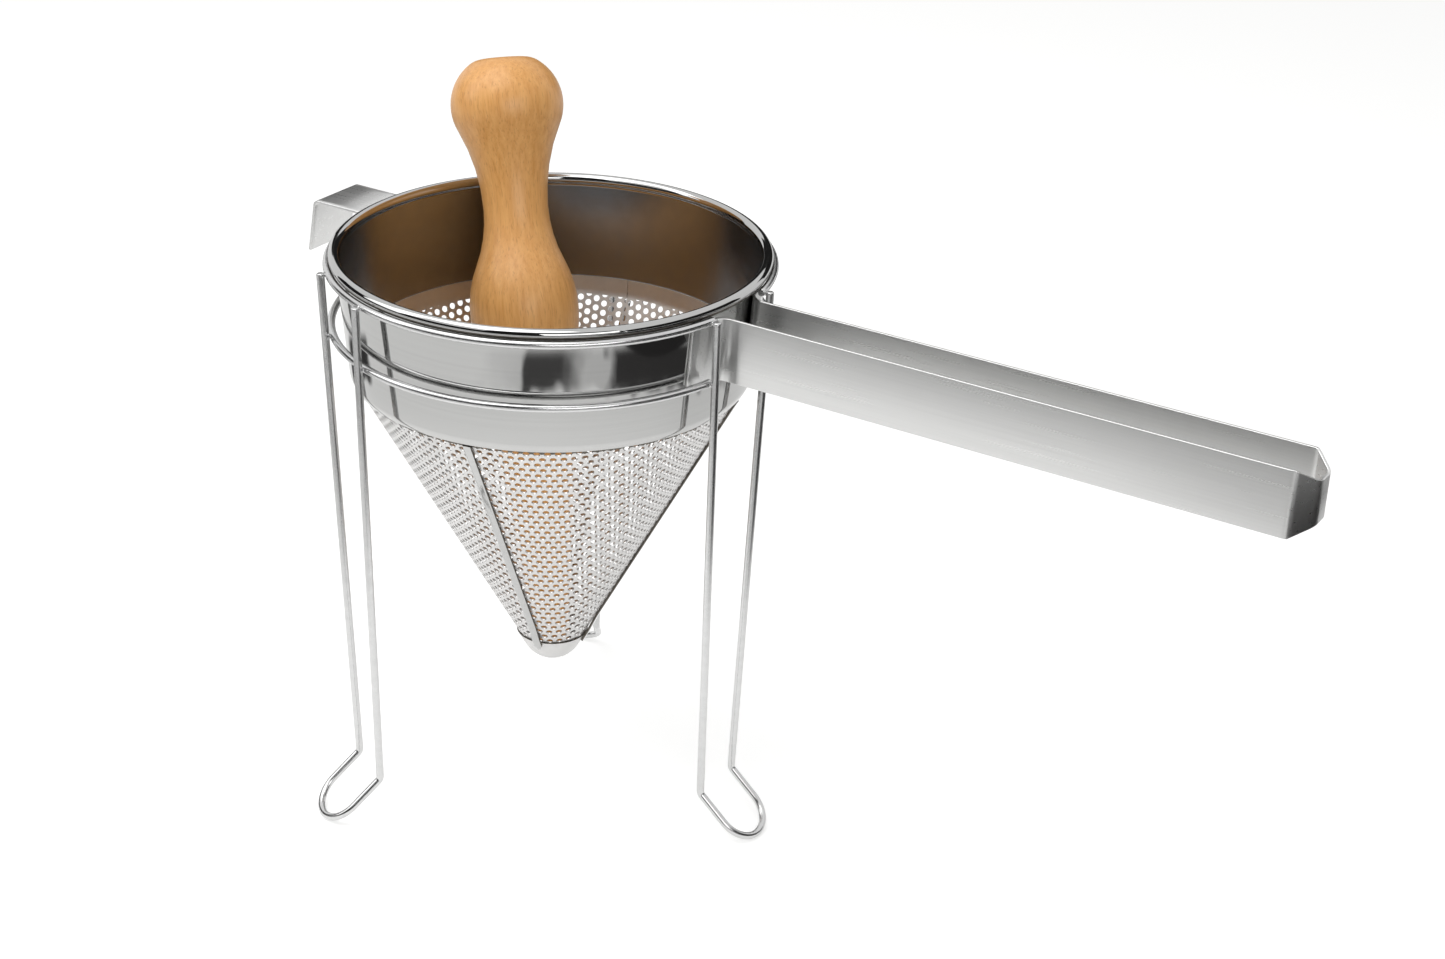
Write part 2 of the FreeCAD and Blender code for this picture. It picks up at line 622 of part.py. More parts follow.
def pestle_lean():
    """The lean, in degrees, at which the pestle comes to rest against the rim, or the wall if that is first."""
    tip, rise = value("tip_height"), value("bead_height - tip_height")
    rim, bead, gap = value("bead_ring"), value("bead_diameter") / 2, value("seat_gap")
    lowest, top = value("shoulder_height"), value("pestle_top")
    heights = [lowest + step * (top - lowest - 1) / 60 for step in range(61)]
    waist = [(height, waist_radius(height)) for height in heights]
    taper_top = value("shoulder_height - shoulder_curve * sin(taper)")
    body = [(taper_top * step / 20, taper_radius(taper_top * step / 20)) for step in range(2, 21)]
    wall_lean, half_angle = math.radians(value("collar_lean")), math.radians(value("cone_half_angle"))
    foot, foot_height = value("cone_mouth"), value("mouth_height")

    def rim_room(lean):
        """Least distance from the rim's bead to the pestle at this lean."""
        along = rim * math.sin(lean) + rise * math.cos(lean)
        aside = rim * math.cos(lean) - rise * math.sin(lean)
        return min(math.hypot(height - along, radius - aside) for height, radius in waist) - bead

    def wall_room(lean, height, radius):
        """Distance from the pestle's side, at a height along it, to the panel on the cone or on the collar's wall."""
        reach = height * math.sin(lean) + radius * math.cos(lean)
        above = tip + height * math.cos(lean) - radius * math.sin(lean) - foot_height
        slope = half_angle if above < 0 else wall_lean
        skin = value("panel_sheet") if above < value("panel_margin") else -value("weld_gap")
        return (foot + above * math.tan(slope) - reach) * math.cos(slope) - skin

    upright, fallen = 0.0, 60.0
    while fallen - upright > 1e-4:
        middle = (upright + fallen) / 2
        lean = math.radians(middle)
        along = rim * math.sin(lean) + rise * math.cos(lean)
        inside = rim * math.cos(lean) - rise * math.sin(lean) > waist_radius(along)
        below = [item for item in body + waist if item[0] < along]
        if inside and rim_room(lean) > gap and min(wall_room(lean, *item) for item in below) > gap:
            upright = middle
        else:
            fallen = middle
    print("pestle lean:", round(upright, 3))
    return upright


NODES = ["upper_ring", "lower_ring", "handle_leg", "back_leg", "left_leg", "collar", "rim_wire", "tip_cap",
         "handle", "pan_hook", "pestle"]
for kind in ("cone_panel", "seam_strip"):
    NODES += [f"{kind}_{index + 1}" for index in range(int(value("panel_count")))]

make_rings()
make_legs()
make_collar()
make_rim_wire()
make_panels()
make_strips()
make_cap()
make_handle()
make_hook()
make_pestle()
doc.recompute()

for thing in doc.Objects:
    if "Invalid" in thing.State or "Error" in thing.State:
        raise RuntimeError(f"{thing.Label} failed: {thing.State}")
nodes = {label: doc.getObjectsByLabel(label)[0] for label in NODES}
for label, node in nodes.items():
    if node.Shape.isNull() or not node.Shape.isValid() or len(node.Shape.Solids) != 1:
        raise RuntimeError(f"{label} is not one valid solid")
os.makedirs("parts", exist_ok=True)
for label, node in nodes.items():
    node.Shape.exportStep(f"parts/{label}.step")
    print(label, round(node.Shape.Volume, 1), "mm3")
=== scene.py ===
# %% [markdown]
# # A cone sieve in its wire stand
# The object is three loose bodies: a stand of bent wire, a sieve of welded sheet steel that hangs in it by
# its rim, and a turned wooden pestle that leans in the cone. The measured frame brings every piece in at
# its true size and place, in metres, with the handle along +X and the floor at Z = 0. This lesson builds
# the fine pieces round that frame, one at a time, and gives each its finish.

# %% Load the measured frame
import math

import bmesh
import bpy
from mathutils import Matrix, Vector


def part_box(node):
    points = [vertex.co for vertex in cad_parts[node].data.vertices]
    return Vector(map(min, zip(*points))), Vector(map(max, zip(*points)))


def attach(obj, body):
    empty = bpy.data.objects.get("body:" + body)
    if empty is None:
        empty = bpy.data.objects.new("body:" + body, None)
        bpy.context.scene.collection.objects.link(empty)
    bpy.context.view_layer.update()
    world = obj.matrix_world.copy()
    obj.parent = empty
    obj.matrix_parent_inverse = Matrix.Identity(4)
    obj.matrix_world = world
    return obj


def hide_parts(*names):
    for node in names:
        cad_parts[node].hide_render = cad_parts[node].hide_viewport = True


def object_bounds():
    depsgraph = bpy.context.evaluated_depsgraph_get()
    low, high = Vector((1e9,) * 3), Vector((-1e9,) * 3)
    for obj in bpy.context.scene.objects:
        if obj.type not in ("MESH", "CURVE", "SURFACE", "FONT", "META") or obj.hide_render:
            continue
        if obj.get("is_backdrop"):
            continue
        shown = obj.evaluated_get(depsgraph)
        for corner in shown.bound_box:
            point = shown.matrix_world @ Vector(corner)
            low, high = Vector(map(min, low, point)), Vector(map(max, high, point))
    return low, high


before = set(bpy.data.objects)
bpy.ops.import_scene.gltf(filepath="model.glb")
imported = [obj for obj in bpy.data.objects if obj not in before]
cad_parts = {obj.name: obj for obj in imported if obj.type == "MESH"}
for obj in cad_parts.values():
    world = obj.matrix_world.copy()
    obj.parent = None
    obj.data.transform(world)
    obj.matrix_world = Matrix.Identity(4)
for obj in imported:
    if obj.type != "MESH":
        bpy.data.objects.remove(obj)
cad_low, cad_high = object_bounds()
scene = bpy.context.scene
MM = 0.001
print("frame box, mm:", [round(x / MM, 1) for x in (*cad_low, *cad_high)])

# %% [markdown]
# ## The view
# The picture was taken from above the rim with a short telephoto lens, so parallel edges draw together
# only a little. The camera's place and angles come from fitting the rim, the rings and the feet, which are
# all circles or lie on one floor. There is no shift and no depth of field.

# %% Camera
camera_data = bpy.data.cameras.new("studio_camera")
camera_data.sensor_width = 36
camera_data.lens = 62.04
camera = bpy.data.objects.new("studio_camera", camera_data)
camera.location = (546.9 * MM, -761.6 * MM, 601.1 * MM)
camera.rotation_euler = [math.radians(angle) for angle in (63.74, -1.68, 32.15)]
scene.collection.objects.link(camera)
scene.camera = camera
print("camera stands", round(camera.location.length, 3), "m from the floor under the sieve")

# %% [markdown]
# ## Nodes and colours
# Materials, the floor and the sky are all small node graphs. One function adds a node with its settings
# and its inputs, where an input is a number, a colour or another node's output. Colours are written as
# sRGB hex, as a colour picker shows them, and one function turns them to the linear values that shaders
# add and multiply.

# %% Node and colour helpers
def add_node(tree, kind, settings=None, inputs=None):
    """Add one node. Inputs maps a socket's name or number to a value or to another node's output."""
    node = tree.nodes.new(kind)
    for name, setting in (settings or {}).items():
        setattr(node, name, setting)
    for socket, source in (inputs or {}).items():
        if isinstance(source, bpy.types.NodeSocket):
            tree.links.new(source, node.inputs[socket])
        else:
            node.inputs[socket].default_value = source
    return node


def linear(colour):
    """An sRGB hex colour as linear RGBA."""
    channels = [int(colour[i:i + 2], 16) / 255 for i in (1, 3, 5)]
    return [*(c / 12.92 if c <= 0.04045 else ((c + 0.055) / 1.055) ** 2.4 for c in channels), 1.0]


print("mid grey in linear light:", round(linear("#808080")[0], 3))

# %% [markdown]
# ## The white studio
# The object stands on white paper that runs up out of sight. Seen by the camera, by metal or through a
# hole, the sky is plain white; to everything else it gives a softer, even light. The paper is a matt white
# that is lifted to white in the same way, so that it still takes the soft shadow under the feet.

# %% Sky and floor
def seen_directly(tree):
    """1 for rays from the camera, a mirror or a clear thing, 0 for the rays that only light things."""
    path = add_node(tree, "ShaderNodeLightPath")
    mirrors = add_node(tree, "ShaderNodeMath", {"operation": "MAXIMUM"},
                       {0: path.outputs["Is Camera Ray"], 1: path.outputs["Is Glossy Ray"]})
    clear = add_node(tree, "ShaderNodeMath", {"operation": "MAXIMUM"},
                     {0: mirrors.outputs[0], 1: path.outputs["Is Transmission Ray"]})
    return clear.outputs[0]


SKY_LIGHT, PAPER_LIFT, PAPER_HALF = 0.55, 0.42, 4
world = bpy.data.worlds.new("white_studio")
scene.world = world
world.use_nodes = True
sky = world.node_tree.nodes["Background"]
strength = add_node(world.node_tree, "ShaderNodeMath", {"operation": "MULTIPLY_ADD"},
                    {0: seen_directly(world.node_tree), 1: 1 - SKY_LIGHT, 2: SKY_LIGHT})
world.node_tree.links.new(strength.outputs[0], sky.inputs["Strength"])
sky.inputs["Color"].default_value = linear("#ffffff")

paper = bpy.data.materials.new("matt_white_paper")
paper.use_nodes = True
tree = paper.node_tree
tree.nodes.remove(tree.nodes["Principled BSDF"])
matt = add_node(tree, "ShaderNodeBsdfDiffuse", inputs={"Color": linear("#e8e8e7")})
lift = add_node(tree, "ShaderNodeMath", {"operation": "MULTIPLY"}, {0: seen_directly(tree), 1: PAPER_LIFT})
glow = add_node(tree, "ShaderNodeEmission", inputs={"Strength": lift.outputs[0]})
both = add_node(tree, "ShaderNodeAddShader", inputs={0: matt.outputs[0], 1: glow.outputs[0]})
tree.links.new(both.outputs[0], tree.nodes["Material Output"].inputs["Surface"])

floor_mesh = bpy.data.meshes.new("paper_floor")
bm = bmesh.new()
bmesh.ops.create_grid(bm, x_segments=1, y_segments=1, size=PAPER_HALF)
bm.to_mesh(floor_mesh)
bm.free()
floor_mesh.materials.append(paper)
floor = bpy.data.objects.new("paper_floor", floor_mesh)
scene.collection.objects.link(floor)
floor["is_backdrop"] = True
print("floor is", 2 * PAPER_HALF, "m square at Z = 0")

# %% [markdown]
# ## Soft boxes
# Three soft boxes light the object: a large one overhead for the broad light, and smaller ones at the left
# and at the front right that reach the cone and the wood behind its holes. Area lights are chosen over
# points or a sun because their size is what makes the soft edges in metal and on lacquer.

# %% Lights
SIEVE_MIDDLE = Vector((0, 0, 0.2))


def soft_box(name, place, width, height, power):
    """A rectangular area light that faces the sieve, with its sizes in metres and its power in watts."""
    data = bpy.data.lights.new(name, "AREA")
    data.shape = "RECTANGLE"
    data.size, data.size_y, data.energy = width, height, power
    lamp = bpy.data.objects.new(name, data)
    lamp.location = place
    lamp.rotation_euler = (SIEVE_MIDDLE - Vector(place)).to_track_quat("-Z", "Y").to_euler()
    scene.collection.objects.link(lamp)


soft_box("soft_box_above", (-0.25, -0.35, 1.45), 1.3, 1.0, 9.0)
soft_box("soft_box_left", (-1.1, -0.75, 0.9), 0.7, 0.9, 4.0)
soft_box("soft_box_front", (1.0, -0.85, 0.7), 0.9, 0.6, 4.5)
print("soft boxes:", len(bpy.data.lights))

# %% [markdown]
# ## Flags
# Polished steel has no look of its own: it shows what stands round it. Dark patches could be painted into
# the metal, but they would stay put when the view moves, so dark cards are set up instead, which only
# mirrors see. Upright ones are the dark room beyond the white paper. A ring-shaped one lies on the paper:
# the collar's wall leans out towards its rim and so mirrors the floor, not the room. Its felt is
# graduated, in steps round the sieve and in bands away from it, and its edges are uneven, so its
# reflection is soft in some places and crisp in others. The last card lies beyond the handle, for the
# handle's nose.

# %% Flag helpers
HIDDEN_FROM = ("camera", "diffuse", "transmission", "volume_scatter", "shadow")


def add_flag(bm, name, material):
    """Make the bmesh a card that only mirrors see. It casts no shadow and takes no light from the object."""
    mesh = bpy.data.meshes.new(name)
    bm.to_mesh(mesh)
    bm.free()
    mesh.materials.append(material)
    card = bpy.data.objects.new(name, mesh)
    scene.collection.objects.link(card)
    for ray in HIDDEN_FROM:
        setattr(card, f"visible_{ray}", False)
    card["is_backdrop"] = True


def new_felt(name, colour):
    """A matt cloth with hardly any shine."""
    material = bpy.data.materials.new(name)
    material.use_nodes = True
    shader = material.node_tree.nodes["Principled BSDF"]
    shader.inputs["Base Color"].default_value = linear(colour)
    shader.inputs["Roughness"].default_value = 0.9
    shader.inputs["Specular IOR Level"].default_value = 0.1
    return material


def flat_card(width, length):
    """A new bmesh with one card that lies flat at the origin."""
    bm = bmesh.new()
    bmesh.ops.create_grid(bm, x_segments=1, y_segments=1, size=0.5)
    bmesh.ops.scale(bm, vec=(width, length, 1), verts=bm.verts)
    return bm


print("a flag is hidden from", len(HIDDEN_FROM), "kinds of ray")

# %% Upright flags
FLAG_DISTANCE, FLAG_WIDTH = 1.6, 2.2
# Each card's angle from +X in degrees, then its lower and upper edge in metres.
WALL_FLAGS = {"front": (-54, 0.03, 2.2), "middle": (-102, 0.03, 1.0), "right": (16, 0.03, 1.1),
              "left": (-150, 0.03, 1.0), "back": (110, 0.2, 0.95)}
grey_felt = new_felt("grey_felt", "#282727")
for side, (angle, low, high) in WALL_FLAGS.items():
    bm = flat_card(high - low, FLAG_WIDTH)
    stand = Matrix.Translation((FLAG_DISTANCE, 0, (low + high) / 2))
    facing = Matrix.Rotation(math.radians(angle), 4, "Z") @ stand
    bmesh.ops.transform(bm, matrix=facing @ Matrix.Rotation(math.radians(90), 4, "Y"), verts=bm.verts)
    add_flag(bm, f"flag_wall_{side}", grey_felt)
print("upright flags:", len(WALL_FLAGS))

# %% Ring flag: shade by bearing
# Bearings from +X in degrees, and how dark the felt is there.
SHADES = [(-180, 1), (-172, 1), (-166, 0.03), (-130, 0), (-104, 0.15), (-89, 0.27), (-76, 0.37),
          (-70, 0.42), (-66.5, 0.98), (-50, 0.98), (-43, 0.75), (-36, 0.46), (-28, 0.46), (-24.5, 1),
          (28, 1), (36, 0.8), (48, 0.6), (60, 0.2), (158, 0.05), (164, 1)]
RAGGED_SIZE, RAGGED_BY = 0.06, 0.1
graduated = new_felt("black_felt_graduated", "#3a3939")
tree = graduated.node_tree
place = add_node(tree, "ShaderNodeTexCoord").outputs["Object"]
ragged = add_node(tree, "ShaderNodeTexNoise",
                  inputs={"Vector": place, "Scale": 1 / RAGGED_SIZE, "Detail": 1.0})
centred = add_node(tree, "ShaderNodeVectorMath", {"operation": "SUBTRACT"},
                   {0: ragged.outputs["Color"], 1: (0.5, 0.5, 0.5)})
warped = add_node(tree, "ShaderNodeVectorMath", {"operation": "MULTIPLY_ADD"},
                  {0: centred.outputs[0], 1: (RAGGED_BY, RAGGED_BY, 0), 2: place})
bearing = add_node(tree, "ShaderNodeTexGradient", {"gradient_type": "RADIAL"}, {"Vector": warped.outputs[0]})
shade = add_node(tree, "ShaderNodeValToRGB", inputs={"Fac": bearing.outputs["Fac"]})
steps = shade.color_ramp.elements
steps.remove(steps[1])
for index, (angle, darkness) in enumerate(SHADES):
    position = angle / 360 + 0.5
    step = steps.new(position) if index else steps[0]
    step.position, step.color = position, (darkness, darkness, darkness, 1)
print("ring flag with", len(SHADES), "steps of shade")

# %% Ring flag: shade by distance
# Each pair is the distance in metres where a change starts and the one where it is complete.
PATCH_START, PATCH_END, THINNER = (0.412, 0.436), (0.455, 0.49), (0.74, 0.84)
EDGE_SIZE, EDGE_BY = 0.07, 0.06
THIN_SHADE = 0.4
# Shade all round the sieve: where it starts, where it is complete and how dark it is.
BANDS = ((0.24, 0.4, 0.24), (0.58, 0.68, 0.94))
SMOOTH = {"interpolation_type": "SMOOTHSTEP"}
TIMES, LARGER = {"operation": "MULTIPLY"}, {"operation": "MAXIMUM"}
distance = add_node(tree, "ShaderNodeVectorMath", {"operation": "LENGTH"}, {0: place}).outputs["Value"]
uneven = add_node(tree, "ShaderNodeTexNoise", inputs={"Vector": place, "Scale": 1 / EDGE_SIZE, "Detail": 1.0})
edge = add_node(tree, "ShaderNodeMath", {"operation": "MULTIPLY_ADD"},
                {0: uneven.outputs["Fac"], 1: EDGE_BY, 2: distance})
inside = add_node(tree, "ShaderNodeMapRange", SMOOTH,
                  {"Value": edge.outputs[0], "From Min": PATCH_START[0], "From Max": PATCH_START[1]})
outside = add_node(tree, "ShaderNodeMapRange", SMOOTH,
                   {"Value": distance, "From Min": PATCH_END[0], "From Max": PATCH_END[1],
                    "To Min": 1.0, "To Max": 0.0})
patch = add_node(tree, "ShaderNodeMath", TIMES, {0: inside.outputs[0], 1: outside.outputs[0]})
cover = add_node(tree, "ShaderNodeMath", TIMES, {0: shade.outputs["Color"], 1: patch.outputs[0]})
for near, far, darkness in BANDS:
    band = add_node(tree, "ShaderNodeMapRange", SMOOTH,
                    {"Value": distance, "From Min": near, "From Max": far, "To Max": darkness})
    cover = add_node(tree, "ShaderNodeMath", LARGER, {0: cover.outputs[0], 1: band.outputs[0]})
thin = add_node(tree, "ShaderNodeMapRange", SMOOTH,
                {"Value": distance, "From Min": THINNER[0], "From Max": THINNER[1],
                 "To Min": 1.0, "To Max": THIN_SHADE})
cover = add_node(tree, "ShaderNodeMath", TIMES, {0: cover.outputs[0], 1: thin.outputs[0]})
clear = add_node(tree, "ShaderNodeBsdfTransparent").outputs[0]
felt = tree.nodes["Principled BSDF"].outputs[0]
mixed = add_node(tree, "ShaderNodeMixShader", inputs={0: cover.outputs[0], 1: clear, 2: felt})
tree.links.new(mixed.outputs[0], tree.nodes["Material Output"].inputs["Surface"])
print("its patches lie", PATCH_START[0], "to", PATCH_END[1], "m from the sieve's axis")

# %% Ring flag: the card
RING_FROM, RING_TO, RING_HEIGHT = 0.23, 1.2, 0.004
bm = bmesh.new()
corner = bm.verts.new((RING_FROM, 0, RING_HEIGHT))
line = bmesh.ops.extrude_vert_indiv(bm, verts=[corner])
line["verts"][0].co.x = RING_TO
bmesh.ops.spin(bm, geom=[corner, *line["verts"], *line["edges"]], cent=(0, 0, 0), axis=(0, 0, 1),
               angle=math.tau, steps=96, use_merge=True)
add_flag(bm, "flag_ring", graduated)
print("ring flag is", 2 * RING_TO, "m across")

# %% Flag beyond the handle
NOSE_CARD, NOSE_CARD_MIDDLE = (0.95, 1.15), (0.92, 0.02, 0.006)
bm = flat_card(*NOSE_CARD)
bmesh.ops.translate(bm, vec=NOSE_CARD_MIDDLE, verts=bm.verts)
add_flag(bm, "flag_handle", new_felt("black_felt", "#2a2929"))
print("handle's card, m:", NOSE_CARD)

# %% [markdown]
# ## The finishes
# Six metal materials and one of wood cover the object, and one of the metal ones is painted shadow. Sheet
# polished to a mirror is never quite flat, so its reflections bend a little, and the polishing wheel leaves
# faint lines round the band. Plated wire is bright, with the fine drag marks of drawing. Punched sheet is
# duller, because the punch works the face. The strap is brushed along its length, and such lines spread a
# highlight across them, so its shader is anisotropic. The band's inside keeps the satin of the rolling mill,
# and its colour is painted darker than the other steel as shade inside the band. Sheared edges, welded laps
# and the gaps beside them are painted dark, mottled, as shadow. The pestle is lacquered beech, which follows
# with its shape. One function makes the sheet, the wire and the strap: a noise drives both roughness and
# tint, because the same marks cause both. All scales are worked out from millimetres.

# %% Material start
def new_material(name):
    """A material with its shader and the Object coordinates that its patterns use."""
    material = bpy.data.materials.new(name)
    material.use_nodes = True
    tree = material.node_tree
    shader = tree.nodes["Principled BSDF"]
    coords = add_node(tree, "ShaderNodeTexCoord").outputs["Object"]
    return material, tree, shader, coords


def per_metre(millimetres):
    """A texture scale that repeats about once in this many millimetres."""
    return 1 / (millimetres * MM)


def new_metal(name, stretch, detail, dull, tints):
    """A bare metal whose roughness and tint follow one noise: its material, tree, shader and noise."""
    material, tree, shader, coords = new_material(name)
    shader.inputs["Metallic"].default_value = 1.0
    spread = add_node(tree, "ShaderNodeMapping", inputs={"Vector": coords, "Scale": stretch})
    marks = add_node(tree, "ShaderNodeTexNoise",
                     inputs={"Vector": spread.outputs[0], "Scale": 1.0, "Detail": detail}).outputs["Fac"]
    rough = add_node(tree, "ShaderNodeMapRange",
                     inputs={"Value": marks, "To Min": dull[0], "To Max": dull[1]})
    tree.links.new(rough.outputs[0], shader.inputs["Roughness"])
    tint = add_node(tree, "ShaderNodeMix", {"data_type": "RGBA"},
                    {"Factor": marks, "A": linear(tints[0]), "B": linear(tints[1])})
    tree.links.new(tint.outputs["Result"], shader.inputs["Base Color"])
    return material, tree, shader, marks


print("scale of a 2 mm pattern:", round(per_metre(2)))

# %% Mirror-polished stainless sheet
POLISH_LINE, SHEET_WAVE = 1.2, 22
polished, tree, shader, _ = new_metal("stainless_sheet_mirror_polished", (4, 4, per_metre(POLISH_LINE)),
                                      4.0, (0.02, 0.08), ("#bfbfbe", "#b5b5b4"))
coords = add_node(tree, "ShaderNodeTexCoord").outputs["Object"]
wave = add_node(tree, "ShaderNodeTexNoise",
                inputs={"Vector": coords, "Scale": per_metre(SHEET_WAVE), "Detail": 1.0})
bump = add_node(tree, "ShaderNodeBump",
                inputs={"Height": wave.outputs["Fac"], "Strength": 1.0, "Distance": 0.08 * MM})
tree.links.new(bump.outputs[0], shader.inputs["Normal"])
print(polished.name, "with sheet waves of", SHEET_WAVE, "mm")

# %% Wire, punched sheet and satin sheet
DRAG_MARK, PUNCH_MOTTLE, MILL_CLOUD = 3, 5, 6
plated = new_metal("steel_wire_drawn_and_plated", [per_metre(DRAG_MARK)] * 3, 3.0,
                   (0.16, 0.28), ("#d3d3d3", "#c5c5c5"))[0]
punched = new_metal("stainless_sheet_punched", [per_metre(PUNCH_MOTTLE)] * 3, 3.0,
                    (0.34, 0.48), ("#dcdbda", "#cccbca"))[0]
# The band's inside is rougher, as mill satin, and its colour is darker than the other steel as painted shade.
satin_and_shade = new_metal("stainless_sheet_satin_and_painted_shade", [per_metre(MILL_CLOUD)] * 3, 3.0,
                  (0.17, 0.27), ("#9c9ea1", "#909295"))[0]
print("marks in mm: wire", DRAG_MARK, "punched sheet", PUNCH_MOTTLE, "satin sheet", MILL_CLOUD)

# %% Brushed stainless strap
BRUSH_LINE = 0.9
brushed, tree, shader, brush = new_metal("stainless_strap_brushed",
                                         (12, per_metre(BRUSH_LINE), per_metre(BRUSH_LINE)), 3.0,
                                         (0.24, 0.34), ("#dededd", "#d4d4d3"))
bump = add_node(tree, "ShaderNodeBump", inputs={"Height": brush, "Strength": 0.3, "Distance": 0.01 * MM})
tree.links.new(bump.outputs[0], shader.inputs["Normal"])
shader.inputs["Anisotropic"].default_value = 0.85
across = add_node(tree, "ShaderNodeCombineXYZ", inputs={"X": 0.1, "Y": 0.05, "Z": 1.0})
tree.links.new(across.outputs[0], shader.inputs["Tangent"])
print(brushed.name, "with brush lines of", BRUSH_LINE, "mm, coarser than the real ones so that they show")

# %% Painted shadow on cut edges
BLOTCH = 4
# A dark, mottled steel that paints the shadow in gaps, in laps and under edges.
painted_shadow, tree, shader, coords = new_material("stainless_edge_painted_shadow")
shader.inputs["Metallic"].default_value = 1.0
shader.inputs["Roughness"].default_value = 0.5
blotch = add_node(tree, "ShaderNodeTexNoise",
                  inputs={"Vector": coords, "Scale": per_metre(BLOTCH), "Detail": 3.0})
tint = add_node(tree, "ShaderNodeMix", {"data_type": "RGBA"},
                {"Factor": blotch.outputs["Fac"], "A": linear("#3a3733"), "B": linear("#7a746c")})
tree.links.new(tint.outputs["Result"], shader.inputs["Base Color"])
print(painted_shadow.name, "with scorch marks of", BLOTCH, "mm")

# %% [markdown]
# ## From bmesh to finished piece
# Every new piece ends in the same few steps, so one function has them: merge the doubles that spin and
# mirror leave, point the faces outwards, shade the curves smooth but keep real corners sharp, and let the
# piece ride on its body in place of the plain node.

# %% Finish a piece
def finish_piece(bm, name, body, nodes, material, sharp=35):
    """Make the bmesh a mesh object that rides on the body and stands for the nodes."""
    bmesh.ops.remove_doubles(bm, verts=bm.verts, dist=0.002 * MM)
    bmesh.ops.recalc_face_normals(bm, faces=bm.faces)
    mesh = bpy.data.meshes.new(name)
    bm.to_mesh(mesh)
    bm.free()
    mesh.shade_smooth()
    mesh.set_sharp_from_angle(angle=math.radians(sharp))
    mesh.materials.append(material)
    piece = bpy.data.objects.new(name, mesh)
    scene.collection.objects.link(piece)
    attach(piece, body)
    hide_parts(*nodes)
    mesh.calc_loop_triangles()
    print(name, "has", len(mesh.loop_triangles), "triangles")
    return piece


def edges_of(geometry):
    return [item for item in geometry if isinstance(item, bmesh.types.BMEdge)]


def verts_of(geometry):
    return [item for item in geometry if isinstance(item, bmesh.types.BMVert)]


def faces_out(place, normal):
    """More than 0 where a face at this place looks away from the Z axis."""
    return Vector((place.x, place.y, 0)).dot(normal)


def give_finish(piece, material, chosen):
    """Add one more finish to a piece, on the faces that the test picks."""
    piece.data.materials.append(material)
    for face in piece.data.polygons:
        if chosen(face):
            face.material_index = len(piece.data.materials) - 1


# %% [markdown]
# ## Bent wire
# A wire is a circle that travels. A bevelled curve would give such a tube too, but here the circle is
# extruded on a straight run and spun about the bend's centre at a bend. That is also how the wire was
# bent, so the sizes are the maker's own: run lengths and bend radii. The ends are closed and slightly
# rounded, as a cropped and tumbled wire is.

# %% Wire helpers
WIRE = 3.2 * MM


def wire_section(bm, place, heading, sides=20):
    """A circle of the wire's size, square to its heading."""
    stand = Matrix.Translation(place) @ heading.to_track_quat("Z", "Y").to_matrix().to_4x4()
    made = bmesh.ops.create_circle(bm, segments=sides, radius=WIRE / 2, matrix=stand)
    return list({edge for vert in made["verts"] for edge in vert.link_edges})


def draw_wire(bm, section, move):
    """Extrude the section along a straight run and return the section at its end."""
    made = bmesh.ops.extrude_edge_only(bm, edges=section)["geom"]
    verts = set(verts_of(made))
    bmesh.ops.translate(bm, vec=move, verts=list(verts))
    return [edge for edge in edges_of(made) if set(edge.verts) <= verts]


def turn_wire(bm, section, centre, axis, angle, steps):
    """Spin the section round a bend and return the section at its end."""
    verts = {vert for edge in section for vert in edge.verts}
    made = bmesh.ops.spin(bm, geom=section + list(verts), cent=centre, axis=axis, angle=angle, steps=steps)
    return edges_of(made["geom_last"])


def crop_ends(bm):
    """Close the wire's two ends and round their edges."""
    ends = [edge for edge in bm.edges if edge.is_boundary]
    bmesh.ops.holes_fill(bm, edges=ends, sides=0)
    bmesh.ops.bevel(bm, geom=ends, offset=WIRE * 0.15, segments=3, profile=0.5, affect="EDGES", material=-1)


print("wire diameter, mm:", WIRE / MM)

# %% Bend a wire
BEND_STEP = 7


def bend_wire(bm, corners, bends):
    """A wire through the corners, with these bend radii at the inner ones."""
    heading = (corners[1] - corners[0]).normalized()
    section = wire_section(bm, corners[0], heading)
    here = corners[0]
    for corner, after, bend in zip(corners[1:], corners[2:], bends):
        ahead = (after - corner).normalized()
        turn = heading.angle(ahead)
        start = corner - heading * bend * math.tan(turn / 2)
        axis = heading.cross(ahead).normalized()
        section = draw_wire(bm, section, start - here)
        steps = max(4, round(math.degrees(turn) / BEND_STEP))
        section = turn_wire(bm, section, start + axis.cross(heading) * bend, axis, turn, steps)
        here = corner + ahead * bend * math.tan(turn / 2)
        heading = ahead
    draw_wire(bm, section, corners[-1] - here)


print("bends are cut about every", BEND_STEP, "degrees")

# %% [markdown]
# ## The stand's rings
# Two rings hold the stand together. The upper one carries the rim's bead, and the lower one steadies the
# legs. Both are open at the handle, so that the strap can drop between their ends. A torus has no ends, so
# a circle of wire is spun the long way round from one end to the other.

# %% Rings
RING_OPENING = 17.3 * MM
for node in ("upper_ring", "lower_ring"):
    low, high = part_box(node)
    radius = -low.x - WIRE / 2
    half_gap = math.asin(RING_OPENING / radius)
    bm = bmesh.new()
    place = Vector((radius * math.cos(half_gap), radius * math.sin(half_gap), (low.z + high.z) / 2))
    section = wire_section(bm, place, Vector((-math.sin(half_gap), math.cos(half_gap), 0)))
    turn_wire(bm, section, (0, 0, 0), (0, 0, 1), math.tau - 2 * half_gap, 220)
    crop_ends(bm)
    finish_piece(bm, f"{node}_wire", "stand", [node], plated)
    print(node, "radius, mm:", round(radius / MM, 2))

# %% [markdown]
# ## The hairpin legs
# Each leg is one length of wire: down from the rings, out at the knee, round the foot and back up. The
# three are the same, a third of a turn apart, so one is bent at the handle's side and turned into place.
# The foot loop tilts down and only its toe touches the floor.

